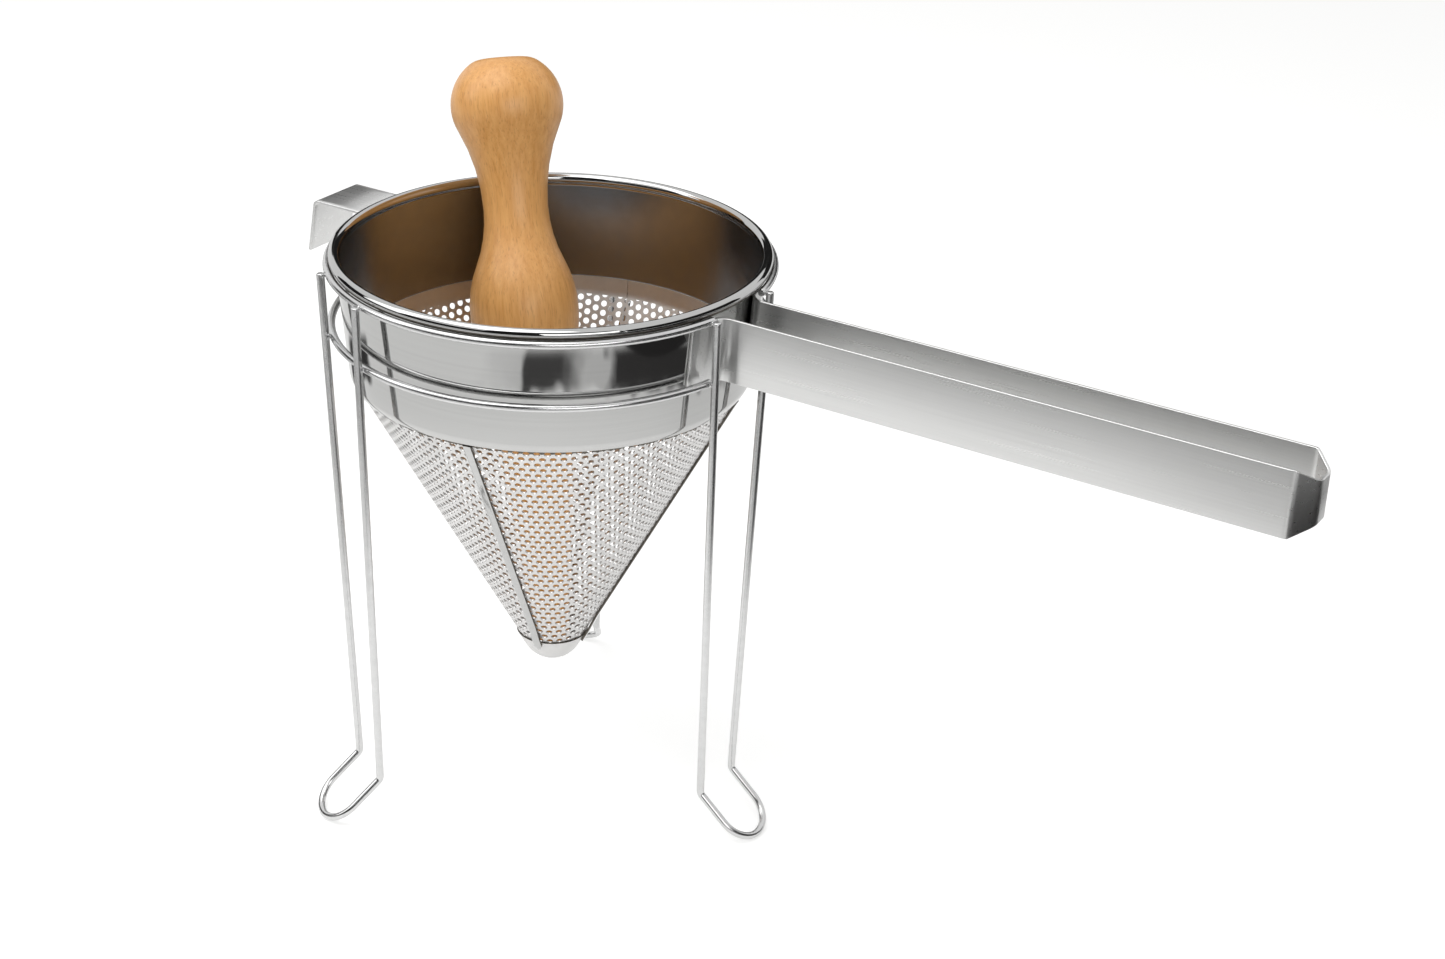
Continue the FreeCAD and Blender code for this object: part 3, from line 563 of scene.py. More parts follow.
# %% Legs
LEG_HALF_TOP, LEG_HALF_FOOT = 19.3 * MM, 12.2 * MM
LEG_TOP_RADIUS, LEG_KNEE_RADIUS, KNEE_BEND, LEG_PAST = 90.7 * MM, 85.0 * MM, 3 * MM, 0.6 * MM
FOOT_SLOPE, FOOT_RUN = math.radians(40.5), 15.8 * MM
RING_TOP = (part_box("upper_ring")[0].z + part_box("upper_ring")[1].z) / 2
KNEE_HEIGHT = WIRE / 2 + (FOOT_RUN + LEG_HALF_FOOT) * math.sin(FOOT_SLOPE)


def leg_corners():
    """The corners of the leg at the handle's side, from one top end to the other."""
    outward = Vector((math.cos(FOOT_SLOPE), 0, -math.sin(FOOT_SLOPE))) * (FOOT_RUN + LEG_HALF_FOOT)
    half = []
    for side in (1, -1):
        top = Vector((LEG_TOP_RADIUS, side * LEG_HALF_TOP, RING_TOP))
        knee = Vector((LEG_KNEE_RADIUS, side * LEG_HALF_FOOT, KNEE_HEIGHT))
        half.append([top + (top - knee).normalized() * LEG_PAST, knee, knee + outward])
    return half[0] + half[1][::-1]


LEG_TURNS = {"handle_leg": 0, "back_leg": 120, "left_leg": -120}
for node, turn in LEG_TURNS.items():
    bm = bmesh.new()
    bend_wire(bm, leg_corners(), [KNEE_BEND, LEG_HALF_FOOT, LEG_HALF_FOOT, KNEE_BEND])
    crop_ends(bm)
    bmesh.ops.rotate(bm, cent=(0, 0, 0), matrix=Matrix.Rotation(math.radians(turn), 3, "Z"), verts=bm.verts)
    finish_piece(bm, f"{node}_wire", "stand", [node], plated)
print("knees are", round(KNEE_HEIGHT / MM, 1), "mm above the floor")

# %% [markdown]
# ## The resistance welds
# Where a leg crosses a ring, the two wires were pressed together hot, and a little metal was squeezed out
# between them. Small flattened balls show that and fill the hairline between the wires. A remesh could
# melt the wires into one, but they would lose their clean lines.

# %% Welds
WELD_FLAT = (0.55, 1.5, 1.15)
bm = bmesh.new()
for node in ("upper_ring", "lower_ring"):
    low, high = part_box(node)
    height = (low.z + high.z) / 2
    share = (RING_TOP - height) / (RING_TOP - KNEE_HEIGHT)
    half = LEG_HALF_TOP + (LEG_HALF_FOOT - LEG_HALF_TOP) * share
    out = LEG_TOP_RADIUS + (LEG_KNEE_RADIUS - LEG_TOP_RADIUS) * share
    for turn in LEG_TURNS.values():
        for side in (1, -1):
            leg = Matrix.Rotation(math.radians(turn), 3, "Z") @ Vector((out, side * half, height))
            flat = Vector((leg.x, leg.y, 0)).normalized()
            made = bmesh.ops.create_icosphere(bm, subdivisions=2, radius=1.0 * MM)["verts"]
            bmesh.ops.scale(bm, vec=WELD_FLAT, verts=made)
            spin_to = Matrix.Rotation(math.atan2(flat.y, flat.x), 3, "Z")
            bmesh.ops.rotate(bm, cent=(0, 0, 0), matrix=spin_to, verts=made)
            bmesh.ops.translate(bm, vec=leg - flat * WIRE / 2, verts=made)
finish_piece(bm, "ring_welds", "stand", [], plated)

# %% [markdown]
# ## Turned and spun sections
# The collar, the tip cap and the pestle are round, so each is drawn once as a half section and spun about
# its axis, as a lathe or a spinning bench makes it. A Screw modifier would do the same; the operator
# leaves a plain mesh. The section is drawn with two moves: a straight run to a point, and an arc about a
# centre.

# %% Section helpers
def draw_section(bm, start, moves):
    """Draw a section in the XZ plane, in mm. A move is (x, z), or (centre x, centre z, degrees)."""
    vert = bm.verts.new((start[0] * MM, 0, start[1] * MM))
    for move in moves:
        if len(move) == 2:
            vert = bmesh.ops.extrude_vert_indiv(bm, verts=[vert])["verts"][0]
            vert.co = (move[0] * MM, 0, move[1] * MM)
            continue
        steps = max(3, round(abs(move[2]) / 6))
        made = bmesh.ops.spin(bm, geom=[vert], cent=(move[0] * MM, 0, move[1] * MM), axis=(0, -1, 0),
                              angle=math.radians(move[2]), steps=steps)
        vert = verts_of(made["geom_last"])[0]


def spin_round(bm, steps):
    """Spin the whole section once round the Z axis."""
    bmesh.ops.remove_doubles(bm, verts=bm.verts, dist=0.001 * MM)
    bmesh.ops.spin(bm, geom=bm.verts[:] + bm.edges[:], cent=(0, 0, 0), axis=(0, 0, 1), angle=math.tau,
                   steps=steps, use_merge=True)
    bmesh.ops.remove_doubles(bm, verts=bm.verts, dist=0.001 * MM)


print("arcs are cut every 6 degrees")

# %% [markdown]
# ## The collar
# A plain band of 0.8 mm sheet that leans in towards its foot. The foot is turned in to lie on the cone. At
# the top the sheet is drawn in a little and then rolled outwards round a wire, which makes the bead that
# the sieve hangs by. The section is one closed outline: up the outside, round the inside of the roll, back
# round its outside, and down the inner face. A sheet with a Solidify modifier would fold over itself in
# the tight roll. The inside gets the satin finish, darkened as painted shade, and the foot's edge and the
# underside of the bead are painted dark as shadow.

# %% Collar sizes
BEAD_RING, BEAD = 86.7, 4.6
BEAD_HEIGHT = (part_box("rim_wire")[0].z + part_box("rim_wire")[1].z) / 2 / MM
SHEET, LEAN, DROP, CURL = 0.8, math.radians(5.0), 50.7, 75.0
WALL_INSET, RIM_TURN, FOOT_BEND = 0.6, math.radians(45), 8.0
HALF_ANGLE = math.radians(28.3)
SIN, COS = math.sin(HALF_ANGLE), math.cos(HALF_ANGLE)
up_wall = Vector((math.sin(LEAN), math.cos(LEAN)))
into_wall = Vector((-math.cos(LEAN), math.sin(LEAN)))
up_cone = Vector((SIN, COS))
into_cone = Vector((-COS, SIN))
bead = Vector((BEAD_RING, BEAD_HEIGHT))
curl_mid = (BEAD - SHEET) / 2
neck = (curl_mid * math.cos(RIM_TURN) - WALL_INSET * math.cos(LEAN)) / (1 - math.cos(RIM_TURN))
neck_centre = bead - Vector((math.cos(RIM_TURN - LEAN), math.sin(RIM_TURN - LEAN))) * (curl_mid + neck)
foot_turn = HALF_ANGLE - LEAN
foot_run = FOOT_BEND * math.tan(foot_turn / 2)
corner_height = BEAD_HEIGHT - DROP + foot_run * COS
corner = Vector((BEAD_RING - WALL_INSET - (BEAD_HEIGHT - corner_height) * math.tan(LEAN), corner_height))
foot_centre = corner + up_wall * foot_run + into_wall * FOOT_BEND
print("collar corner, mm: radius", round(corner.x, 2), "height", round(corner.y, 2))

# %% Collar
foot = corner - up_cone * foot_run
roll_angle = 180 + math.degrees(RIM_TURN - LEAN) + CURL
curl_end = Vector((math.cos(math.radians(-CURL)), math.sin(math.radians(-CURL))))
bm = bmesh.new()
draw_section(bm, foot + into_cone * SHEET / 2, [
    tuple(foot - into_cone * SHEET / 2),
    (*foot_centre, math.degrees(foot_turn)),
    tuple(neck_centre - into_wall * (neck + SHEET / 2)),
    (*neck_centre, math.degrees(RIM_TURN)),
    (*bead, -roll_angle),
    tuple(bead + curl_end * BEAD / 2),
    (*bead, roll_angle),
    (*neck_centre, -math.degrees(RIM_TURN)),
    tuple(foot_centre - into_wall * (FOOT_BEND - SHEET / 2)),
    (*foot_centre, -math.degrees(foot_turn)),
])
spin_round(bm, 288)
band = finish_piece(bm, "collar_band", "sieve", ["collar"], polished)


def inner_wall(face):
    """Whether a face is on the inside, below the draw-in."""
    return faces_out(face.center, face.normal) < 0 and face.center.z < neck_centre.y * MM


def shadow_faces(face):
    """Whether a face is the foot's end or the underside of the bead, where shadow is painted."""
    foot_end = face.normal.z < -0.8 and face.center.z < corner_height * MM
    outside = faces_out(face.center, face.normal) > 0 and face.center.z > neck_centre.y * MM
    return foot_end or (outside and face.normal.z < -0.2)


# The inside takes the satin with painted shade; the foot's end and the bead's underside take painted shadow.
give_finish(band, satin_and_shade, inner_wall)
give_finish(band, painted_shadow, shadow_faces)
print("collar foot, mm: radius", round(foot.x, 2), "height", round(foot.y, 2))

# %% [markdown]
# ## The perforated cone
# Four quarter cones of 0.6 mm sheet. The holes were punched in the flat sheet, in staggered rows with 4.1
# mm between holes, and the sheet was then cut and rolled. The rows run on under the strips from quarter to
# quarter and only break at the back, so their slope against the floor changes all the way round. The same
# order is followed here: one six-sided cell with a round hole, repeated in the flat, turned to its slope,
# trimmed along the seams and the top, and rolled on to the cone. A real hole keeps its shape from every
# side, which a picture of holes would not.

# %% One punched cell
PITCH, HOLE = 4.1, 2.75
WELD_GAP, CAP_MOUTH = 0.05, 14.7
PANEL_BEND = FOOT_BEND - SHEET / 2 - WELD_GAP
elbow = foot_centre - into_cone * PANEL_BEND
APEX = elbow.y - elbow.x / math.tan(HALF_ANGLE)
TOP_SLANT = elbow.x / SIN
CAP_SLANT = CAP_MOUTH / SIN


def punched_cell(bm):
    """A six-sided cell of sheet round one hole, in the XY plane."""
    verts = bmesh.ops.create_circle(bm, cap_ends=True, segments=12, radius=PITCH / 2 * MM)["verts"]
    for index, vert in enumerate(verts):
        reach = PITCH / 2 if index % 2 else PITCH / math.sqrt(3)
        vert.co = Matrix.Rotation(math.radians(30 * index), 3, "Z") @ Vector((reach * MM, 0, 0))
    face = bm.faces[:]
    bmesh.ops.inset_individual(bm, faces=face, thickness=0.3 * MM)
    for vert in face[0].verts:
        vert.co = vert.co.normalized() * HOLE / 2 * MM
    bmesh.ops.delete(bm, geom=face, context="FACES_ONLY")


def repeat(bm, geometry, step, count):
    """Lay copies of the geometry beside it, each one step further."""
    everything = list(geometry)
    for index in range(1, count):
        copy = bmesh.ops.duplicate(bm, geom=geometry)["geom"]
        bmesh.ops.translate(bm, vec=Vector(step) * index, verts=verts_of(copy))
        everything += copy
    return everything


print("slant length of the punched cone, mm:", round(TOP_SLANT - CAP_SLANT, 1))

# %% Lay out and trim one flat quarter
QUARTER = math.radians(45) * SIN
ROW = PITCH * math.sqrt(3) / 2
HIDDEN_END = CAP_SLANT - 4
COLUMNS, ROW_PAIRS, TOP_CUTS = 46, 26, 12


def near_quarter(place):
    """Whether a place in the flat is on the quarter or just beyond its cut edges."""
    slant = math.hypot(place.x, place.y) / MM
    beyond = 2 * PITCH / slant
    return HIDDEN_END < slant < TOP_SLANT + PITCH and abs(math.atan2(place.y, place.x)) < QUARTER + beyond


def flat_quarter(slope):
    """One quarter of the cone in the flat, apex at the origin, middle along X, its rows at a slope."""
    bm = bmesh.new()
    punched_cell(bm)
    bmesh.ops.translate(bm, vec=(-ROW_PAIRS * ROW * MM, -COLUMNS / 2 * PITCH * MM, 0), verts=bm.verts)
    row = repeat(bm, bm.verts[:] + bm.edges[:] + bm.faces[:], (0, PITCH * MM, 0), COLUMNS)
    pair = row + repeat(bm, row, (ROW * MM, PITCH / 2 * MM, 0), 2)[len(row):]
    repeat(bm, pair, (2 * ROW * MM, 0, 0), ROW_PAIRS)
    bmesh.ops.rotate(bm, cent=(0, 0, 0), matrix=Matrix.Rotation(-slope, 3, "Z"), verts=bm.verts)
    bmesh.ops.translate(bm, vec=((HIDDEN_END + TOP_SLANT) / 2 * MM, 0, 0), verts=bm.verts)
    spare = [face for face in bm.faces if not near_quarter(face.calc_center_median())]
    bmesh.ops.delete(bm, geom=spare, context="FACES")
    bmesh.ops.remove_doubles(bm, verts=bm.verts, dist=0.01 * MM)
    cuts = [(Vector(), Vector((-math.sin(QUARTER), side * math.cos(QUARTER), 0))) for side in (1, -1)]
    for step in range(-TOP_CUTS, TOP_CUTS + 1):
        heading = Matrix.Rotation(QUARTER * step / TOP_CUTS, 3, "Z") @ Vector((1, 0, 0))
        cuts.append((heading * TOP_SLANT * MM, heading))
    for place, normal in cuts:
        bmesh.ops.bisect_plane(bm, geom=bm.verts[:] + bm.edges[:] + bm.faces[:], dist=0.0005 * MM,
                               plane_co=place, plane_no=normal, clear_outer=True)
    return bm


print("a flat quarter spans", round(math.degrees(2 * QUARTER), 1), "degrees")

# %% Roll a flat piece
def roll_on_cone(bm, middle, lift=lambda slant: 0):
    """Roll a flat piece on to the cone, its X axis at this angle, lifted off it by mm along its normal."""
    for vert in bm.verts:
        slant = math.hypot(vert.co.x, vert.co.y)
        angle = middle + math.atan2(vert.co.y, vert.co.x) / SIN
        rise = vert.co.z + lift(slant / MM) * MM
        radius = slant * SIN + rise * COS
        height = APEX * MM + slant * COS - rise * SIN
        vert.co = (radius * math.cos(angle), radius * math.sin(angle), height)


print("the cone's point would lie", round(APEX, 1), "mm above the floor")

# %% Roll the four quarters
SEAM, ROW_SLOPE = math.radians(11.75), math.radians(27.8)
# The last number is the width in mm of the band under the collar's foot that is painted dark as shadow.
PANEL_SHEET, MARGIN, TUCK, FOOT_SHADOW = 0.6, 5, 7, 2.3
BAND_HALF = math.radians(44.9)


def plain_bands(bm, middle):
    """The plain margin turned up inside the collar and the plain end inside the cap, over one quarter."""
    punched_part = set(bm.verts)
    wall_foot = foot_centre - into_wall * PANEL_BEND
    draw_section(bm, elbow, [(*foot_centre, math.degrees(foot_turn)), tuple(wall_foot + up_wall * MARGIN)])
    apex = Vector((0, APEX))
    draw_section(bm, up_cone * (CAP_SLANT - TUCK) + apex, [tuple(up_cone * HIDDEN_END + apex)])
    verts = [vert for vert in bm.verts if vert not in punched_part]
    edges = list({edge for vert in verts for edge in vert.link_edges})
    start = Matrix.Rotation(middle - BAND_HALF, 3, "Z")
    bmesh.ops.rotate(bm, cent=(0, 0, 0), matrix=start, verts=verts)
    bmesh.ops.spin(bm, geom=verts + edges, cent=(0, 0, 0), axis=(0, 0, 1), angle=2 * BAND_HALF, steps=48)


def foot_shadow_band(face):
    """Whether a face is on the outside and at the collar's foot, in the band that gets painted shadow."""
    slant = (face.center.z / MM - APEX) / COS
    return faces_out(face.center, face.normal) > 0 and abs(slant - TOP_SLANT) < FOOT_SHADOW


for index, quarters in enumerate((0, -3, -2, -1)):
    middle = SEAM + math.radians(90 * quarters + 45)
    bm = flat_quarter(ROW_SLOPE + middle * SIN)
    roll_on_cone(bm, middle)
    plain_bands(bm, middle)
    bmesh.ops.remove_doubles(bm, verts=bm.verts, dist=0.001 * MM)
    bmesh.ops.recalc_face_normals(bm, faces=bm.faces)
    for face in bm.faces:
        if faces_out(face.calc_center_median(), face.normal) < 0:
            face.normal_flip()
    bmesh.ops.solidify(bm, geom=bm.faces[:], thickness=PANEL_SHEET * MM)
    name = f"punched_quarter_{index + 1}"
    piece = finish_piece(bm, name, "sieve", [f"cone_panel_{index + 1}"], punched)
    # The band under the collar's foot gets painted shadow.
    give_finish(piece, painted_shadow, foot_shadow_band)

# %% [markdown]
# ## The seam strips
# A narrow strip is welded over each seam from the collar's foot to just past the cap's edge, where it ends
# round. A curve laid on the cone would twist, so a flat strip is rolled on to it, as the sheet was, and
# lifted by the thickness of the cap where it steps over it. Its sheared sides are painted dark as shadow.

# %% Seam strips
STRIP_WIDTH, STRIP_SHEET, STRIP_EDGE = 3.3, 1.0, 0.14
STRIP_GAP, STRIP_STEP, STEP_FROM, STEP_RUN = 0.1, 0.61, CAP_SLANT + 14, 13
low, high, half = CAP_SLANT - 4, TOP_SLANT - 1, STRIP_WIDTH / 2


def strip_lift(slant):
    """Height of the strip's underside over the cone: on the sheet, and over the cap past its edge."""
    step = min(max((STEP_FROM - slant) / STEP_RUN, 0), 1)
    return STRIP_GAP + STRIP_STEP * step * step * (3 - 2 * step)


for index in range(4):
    bm = bmesh.new()
    bmesh.ops.create_grid(bm, x_segments=60, y_segments=4, size=0.5)
    for vert in bm.verts:
        slant = low + (vert.co.x + 0.5) * (high - low)
        narrow = min(max((low + half - slant) / half, 0), 1)
        vert.co = (slant * MM, vert.co.y * STRIP_WIDTH * math.sqrt(1 - narrow ** 2 * 0.96) * MM, 0)
    bmesh.ops.solidify(bm, geom=bm.faces[:], thickness=-STRIP_SHEET * MM)
    rim = [edge for edge in bm.edges if edge.calc_face_angle(0) > 1]
    bmesh.ops.bevel(bm, geom=rim, offset=STRIP_EDGE * MM, segments=2, profile=0.5, affect="EDGES",
                    material=-1)
    # The strip's sides take the second material, the painted shadow of the gap beside the strip.
    for face in bm.faces:
        face.material_index = 1 if abs(face.normal.z) < 0.5 else 0
    roll_on_cone(bm, SEAM + math.radians(90 * index), strip_lift)
    name = f"seam_cover_{index + 1}"
    cover = finish_piece(bm, name, "sieve", [f"seam_strip_{index + 1}"], polished)
    cover.data.materials.append(painted_shadow)

# %% [markdown]
# ## The tip cap
# A small blunt cup closes the cone's point. Half a sphere would be too sharp at its mouth; the real one is
# pressed from sheet, so its wall has one thickness, and the section goes up the outside and comes back
# down the inside. Its mouth is a sheared edge, painted dark as shadow.

# %% Tip cap
CAP_SHEET, NOSE = 0.6, 13.3
nose_height = APEX + (NOSE - CAP_SHEET - WELD_GAP) / SIN
out = Vector((COS, -SIN))
mouth = Vector((CAP_SLANT * SIN, APEX + CAP_SLANT * COS))
bm = bmesh.new()
draw_section(bm, (0, nose_height - NOSE), [
    (0, nose_height, 90 - math.degrees(HALF_ANGLE)),
    tuple(mouth + out * (WELD_GAP + CAP_SHEET)),
    tuple(mouth + out * WELD_GAP),
    tuple(Vector((0, nose_height)) + out * (NOSE - CAP_SHEET)),
    (0, nose_height, math.degrees(HALF_ANGLE) - 90),
])
spin_round(bm, 96)
cap = finish_piece(bm, "point_cap", "sieve", ["tip_cap"], punched)
mouth_low = (mouth.y - 1) * MM
# The mouth's edge is painted dark as shadow.
give_finish(cap, painted_shadow, lambda face: face.normal.z > 0.8 and face.center.z > mouth_low)

# %% [markdown]
# ## The strap handle
# One strap, 26.2 mm wide, is bent into a long loop. Its two ends turn outwards and lie on the collar,
# where they are welded. A bevelled curve would round the strap's cut edges away, so half of its path is
# drawn in plan with runs and turns and mirrored; the path is then pulled down to the strap's width, the
# ends are leaned in to the collar's wall, the nose is trimmed narrower, and the sheet gets its thickness
# and softened edges.

# %% Handle sizes
STRAP, STRAP_WIDTH = 1.2, 26.2
strap_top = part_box("handle")[1].z / MM
REACH, HALF_WIDTH, BEND, FLANGE_HALF = 325.0, 11.8, 7.0, 25.0
NOSE_HALF, NOSE_RUN, NOSE_BEND = 5.0, 7.5, 5.2
wall_middle = BEAD_RING - WALL_INSET - (BEAD_HEIGHT - strap_top) * math.tan(LEAN)
flange_face = wall_middle + (SHEET / 2 + WELD_GAP) / math.cos(LEAN) + STRAP
bend_y = HALF_WIDTH + BEND
bend_x = math.sqrt((flange_face + BEND) ** 2 - bend_y ** 2)
meet = math.atan2(bend_y, bend_x)
flange_end = math.asin(FLANGE_HALF / flange_face)
slant = math.atan2(HALF_WIDTH - NOSE_HALF, NOSE_RUN)
print("flanges lie", round(flange_face, 2), "mm from the sieve's axis")

# %% Handle path
def plan_turn(bm, vert, centre, degrees):
    """Turn the path's end about an upright axis, in plan."""
    about = (centre[0] * MM, centre[1] * MM, strap_top * MM)
    made = bmesh.ops.spin(bm, geom=[vert], cent=about, axis=(0, 0, 1), angle=math.radians(degrees),
                          steps=max(4, round(abs(degrees) / 5)))
    return verts_of(made["geom_last"])[0]


def plan_run(bm, vert, x, y):
    """Run the path straight to a point, in plan."""
    end = bmesh.ops.extrude_vert_indiv(bm, verts=[vert])["verts"][0]
    end.co = (x * MM, y * MM, strap_top * MM)
    return end


bm = bmesh.new()
flange_x, flange_y = flange_face * math.cos(flange_end), flange_face * math.sin(flange_end)
vert = bm.verts.new((flange_x * MM, flange_y * MM, strap_top * MM))
vert = plan_turn(bm, vert, (0, 0), math.degrees(meet - flange_end))
vert = plan_turn(bm, vert, (bend_x, bend_y), 90 - math.degrees(meet))
first = NOSE_BEND * math.tan(slant / 2)
second = NOSE_BEND * math.tan((math.pi / 2 - slant) / 2)
nose_start = REACH - NOSE_RUN
vert = plan_run(bm, vert, nose_start - first, HALF_WIDTH)
vert = plan_turn(bm, vert, (nose_start - first, HALF_WIDTH - NOSE_BEND), -math.degrees(slant))
vert = plan_run(bm, vert, REACH - second * math.cos(slant), NOSE_HALF + second * math.sin(slant))
vert = plan_turn(bm, vert, (REACH - NOSE_BEND, NOSE_HALF - second), math.degrees(slant) - 90)
plan_run(bm, vert, REACH, 0)
bmesh.ops.mirror(bm, geom=bm.verts[:] + bm.edges[:], axis="Y", merge_dist=0.01 * MM)
bmesh.ops.remove_doubles(bm, verts=bm.verts, dist=0.01 * MM)
upper = set(bm.verts)
made = bmesh.ops.extrude_edge_only(bm, edges=bm.edges[:])["geom"]
lower = [item for item in verts_of(made) if item not in upper]
bmesh.ops.translate(bm, vec=(0, 0, -STRAP_WIDTH * MM), verts=lower)
ends = [item for item in lower if item.co.x < (bend_x + 0.01) * MM]
lean_in = STRAP_WIDTH * math.tan(LEAN)
bmesh.ops.translate(bm, vec=(-lean_in / math.cos(meet) * MM, 0, 0), verts=ends)
print("strap path has", len(upper), "points; flanges lean in by", round(lean_in, 2), "mm")

# %% Trim the nose
NOSE_TRIM = 4.5
for height, way in ((strap_top, 1), (strap_top - STRAP_WIDTH, -1)):
    bmesh.ops.bisect_plane(bm, geom=bm.verts[:] + bm.edges[:] + bm.faces[:], dist=0.001 * MM,
                           plane_co=(nose_start * MM, 0, height * MM),
                           plane_no=(NOSE_TRIM, 0, way * NOSE_RUN), clear_outer=True)
print("strap at the nose, mm wide:", STRAP_WIDTH - 2 * NOSE_TRIM)

# %% Thicken the strap
EDGE_ROUND = 0.28


def thicken(bm, thickness, inside):
    """Give a sheet its thickness on the side that faces the point, and soften its cut edges."""
    bmesh.ops.recalc_face_normals(bm, faces=bm.faces)
    probe = max(bm.faces, key=lambda face: face.calc_area())
    if probe.normal.dot(Vector(inside) - probe.calc_center_median()) > 0:
        bmesh.ops.reverse_faces(bm, faces=bm.faces)
    bmesh.ops.solidify(bm, geom=bm.faces[:], thickness=thickness)
    cut = [edge for edge in bm.edges if edge.calc_face_angle(0) > 1.2]
    bmesh.ops.bevel(bm, geom=cut, offset=EDGE_ROUND * MM, segments=3, profile=0.5, affect="EDGES",
                    material=-1)


thicken(bm, STRAP * MM, (0.2, 0, 0.2))
finish_piece(bm, "strap_loop", "sieve", ["handle"], brushed)

# %% [markdown]
# ## The pan hook
# A short strap welded to the rim's bead opposite the handle, bent down so that the sieve can hang on the
# edge of a pan. Its inner end follows the bead's round, which a bent rectangle would not, so it starts as
# an arc, runs out to a straight bend line, and turns down and slightly outwards.

# %% Hook
HOOK_REACH, HOOK_DROP, HOOK_FLARE, HOOK_BEND, HOOK_LAP = 24.4, 23.8, 10.0, 2.7, 0.1
half_turn = math.asin(STRAP_WIDTH / 2 / (BEAD_RING + BEAD / 2))
plate = BEAD_HEIGHT + STRAP / 2
bm = bmesh.new()
inner = BEAD_RING + BEAD / 2 - HOOK_LAP
vert = bm.verts.new((-inner * math.cos(half_turn) * MM, inner * math.sin(half_turn) * MM, plate * MM))
bmesh.ops.spin(bm, geom=[vert], cent=(0, 0, plate * MM), axis=(0, 0, 1), angle=2 * half_turn, steps=12)
made = bmesh.ops.extrude_edge_only(bm, edges=bm.edges[:])["geom"]
line = verts_of(made)
for item in line:
    item.co.x = -(BEAD_RING + BEAD / 2 + HOOK_REACH - HOOK_BEND) * MM
edge_line = [edge for edge in edges_of(made) if set(edge.verts) <= set(line)]
bend_place = (line[0].co.x, 0, (plate - HOOK_BEND) * MM)
made = bmesh.ops.spin(bm, geom=edge_line + line, cent=bend_place, axis=(0, -1, 0),
                      angle=math.radians(90 - HOOK_FLARE), steps=8)["geom_last"]
made = bmesh.ops.extrude_edge_only(bm, edges=edges_of(made))["geom"]
run = HOOK_DROP - HOOK_BEND
flare = math.radians(HOOK_FLARE)
down = (-run * math.sin(flare) * MM, 0, -run * math.cos(flare) * MM)
bmesh.ops.translate(bm, vec=down, verts=verts_of(made))
thicken(bm, STRAP * MM, (-0.1, 0, 0.1))
finish_piece(bm, "pan_edge_hook", "sieve", ["pan_hook"], brushed)

# %% [markdown]
# ## The pestle
# Turned from one billet: a round tip, a long taper, a full shoulder, a narrow waist for the fingers and a
# ball head with a rounded crown. A profile curve could be drawn freehand, but arcs and a straight taper
# that meet without a corner are what a lathe tool leaves. It is drawn upright about its tip's centre and
# then leaned until its waist meets the rim. The grain runs along the billet, so the wood's pattern is
# leaned by the same angles.

# %% Pestle shape
TIP, TAPER = 7.1, math.radians(6.55)
SHOULDER_CURVE, SHOULDER_HEIGHT = 47.0, 142.2
NECK, NECK_HEIGHT = 13.7, 185.2
HEAD, HEAD_CURVE, HEAD_HEIGHT = 23.8, 21.5, 228.8
CROWN, CROWN_CURVE = 248.3, 10.0
body_radius = SHOULDER_CURVE + (TIP - SHOULDER_CURVE + SHOULDER_HEIGHT * math.sin(TAPER)) / math.cos(TAPER)


def waist_curve(full, height, round_radius):
    """The hollow's radius that meets a rounding of this radius at this fullness and height."""
    rise, run = full - NECK, abs(NECK_HEIGHT - height)
    return (rise ** 2 + run ** 2) / (2 * rise) - round_radius


low_curve = waist_curve(body_radius, SHOULDER_HEIGHT, SHOULDER_CURVE)
high_curve = waist_curve(HEAD, HEAD_HEIGHT, HEAD_CURVE)
low_turn = math.degrees(math.asin((NECK_HEIGHT - SHOULDER_HEIGHT) / (SHOULDER_CURVE + low_curve)))
high_turn = math.degrees(math.asin((HEAD_HEIGHT - NECK_HEIGHT) / (HEAD_CURVE + high_curve)))
crown_rise = CROWN - CROWN_CURVE - HEAD_HEIGHT
crown_turn = math.degrees(math.asin(crown_rise / (HEAD_CURVE - CROWN_CURVE)))
crown_flat = HEAD - HEAD_CURVE + math.sqrt((HEAD_CURVE - CROWN_CURVE) ** 2 - crown_rise ** 2)
taper_end = (body_radius - SHOULDER_CURVE + SHOULDER_CURVE * math.cos(TAPER),
             SHOULDER_HEIGHT - SHOULDER_CURVE * math.sin(TAPER))
bm = bmesh.new()
draw_section(bm, (0, -TIP), [
    (0, 0, 90 - math.degrees(TAPER)),
    taper_end,
    (body_radius - SHOULDER_CURVE, SHOULDER_HEIGHT, math.degrees(TAPER) + low_turn),
    (NECK + low_curve, NECK_HEIGHT, -low_turn),
    (NECK + high_curve, NECK_HEIGHT, -high_turn),
    (HEAD - HEAD_CURVE, HEAD_HEIGHT, high_turn + crown_turn),
    (crown_flat, CROWN - CROWN_CURVE, 90 - crown_turn),
    (0, CROWN),
])
spin_round(bm, 128)
print("pestle body, mm across:", round(2 * body_radius, 1), "length", CROWN + TIP)

# %% Lean the pestle
LEAN_TURN, LEAN_BACK = math.radians(139.1), math.radians(20.846)
SEAT_GAP = 0.3
TIP_HEIGHT = nose_height - NOSE + CAP_SHEET + SEAT_GAP + TIP
lean = Matrix.Rotation(LEAN_TURN, 3, "Z") @ Matrix.Rotation(LEAN_BACK, 3, "Y")
bmesh.ops.rotate(bm, cent=(0, 0, 0), matrix=lean, verts=bm.verts)
bmesh.ops.translate(bm, vec=(0, 0, TIP_HEIGHT * MM), verts=bm.verts)
print("pestle top, mm:", round(max(vert.co.z for vert in bm.verts) / MM, 1))

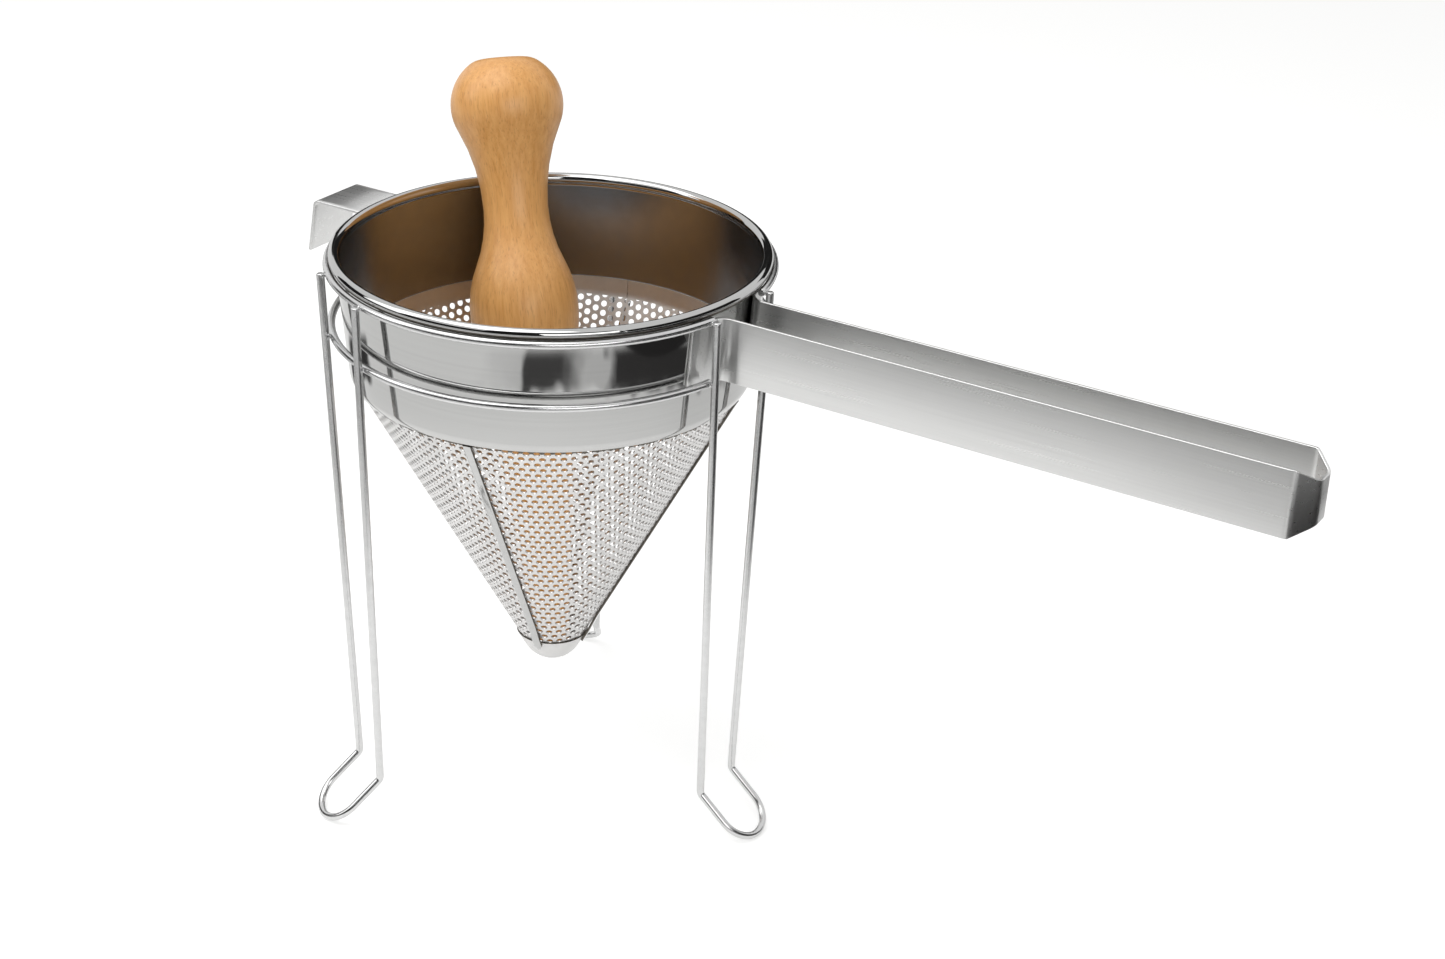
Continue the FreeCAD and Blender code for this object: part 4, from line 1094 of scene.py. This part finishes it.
# %% Lacquered beech
GRAIN, FLECK = (1.8, 1.8, 30), (0.6, 0.6, 5)
beech, tree, shader, coords = new_material("beech_turned_and_lacquered")
upright = add_node(tree, "ShaderNodeMapping", {"vector_type": "TEXTURE"},
                   {"Vector": coords, "Location": (0, 0, TIP_HEIGHT * MM), "Rotation": lean.to_euler()})
grain_map, fleck_map = (add_node(tree, "ShaderNodeMapping", inputs={
    "Vector": upright.outputs[0], "Scale": [per_metre(size) for size in sizes]}) for sizes in (GRAIN, FLECK))
grain = add_node(tree, "ShaderNodeTexNoise",
                 inputs={"Vector": grain_map.outputs[0], "Scale": 1.0, "Detail": 5.0, "Roughness": 0.6})
fleck = add_node(tree, "ShaderNodeTexNoise",
                 inputs={"Vector": fleck_map.outputs[0], "Scale": 1.0, "Detail": 2.0})
tan_ramp = add_node(tree, "ShaderNodeValToRGB", inputs={"Fac": grain.outputs["Fac"]})
pale, warm = tan_ramp.color_ramp.elements
pale.position, pale.color = 0.3, linear("#d1934d")
warm.position, warm.color = 0.72, linear("#e4ab66")
fleck_ramp = add_node(tree, "ShaderNodeMapRange", inputs={
    "Value": fleck.outputs["Fac"], "From Min": 0.56, "From Max": 0.7, "To Max": 0.4})
wood = add_node(tree, "ShaderNodeMix", {"data_type": "RGBA"},
                {"Factor": fleck_ramp.outputs[0], "A": tan_ramp.outputs["Color"], "B": linear("#a46d35")})
tree.links.new(wood.outputs["Result"], shader.inputs["Base Color"])
shader.inputs["Roughness"].default_value = 0.42
shader.inputs["Coat Weight"].default_value = 0.25
shader.inputs["Coat Roughness"].default_value = 0.3
finish_piece(bm, "turned_pestle", "pestle", ["pestle"], beech)

# %% [markdown]
# ## Last steps
# The wire inside the rolled rim never shows, and keeps its plain node with the wire's finish. The view
# transform is the plain one, so colours render as they are written. The boxes before and after are written
# down to show that the fine pieces have not changed the object's size.

# %% Close the scene
rim_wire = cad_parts["rim_wire"]
rim_wire.data.materials.clear()
rim_wire.data.materials.append(plated)
scene.view_settings.view_transform = "Standard"
new_low, new_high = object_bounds()
corners = zip((*new_low, *new_high), (*cad_low, *cad_high))
print("box grew by, mm:", [round((new - old) / MM, 2) for new, old in corners])
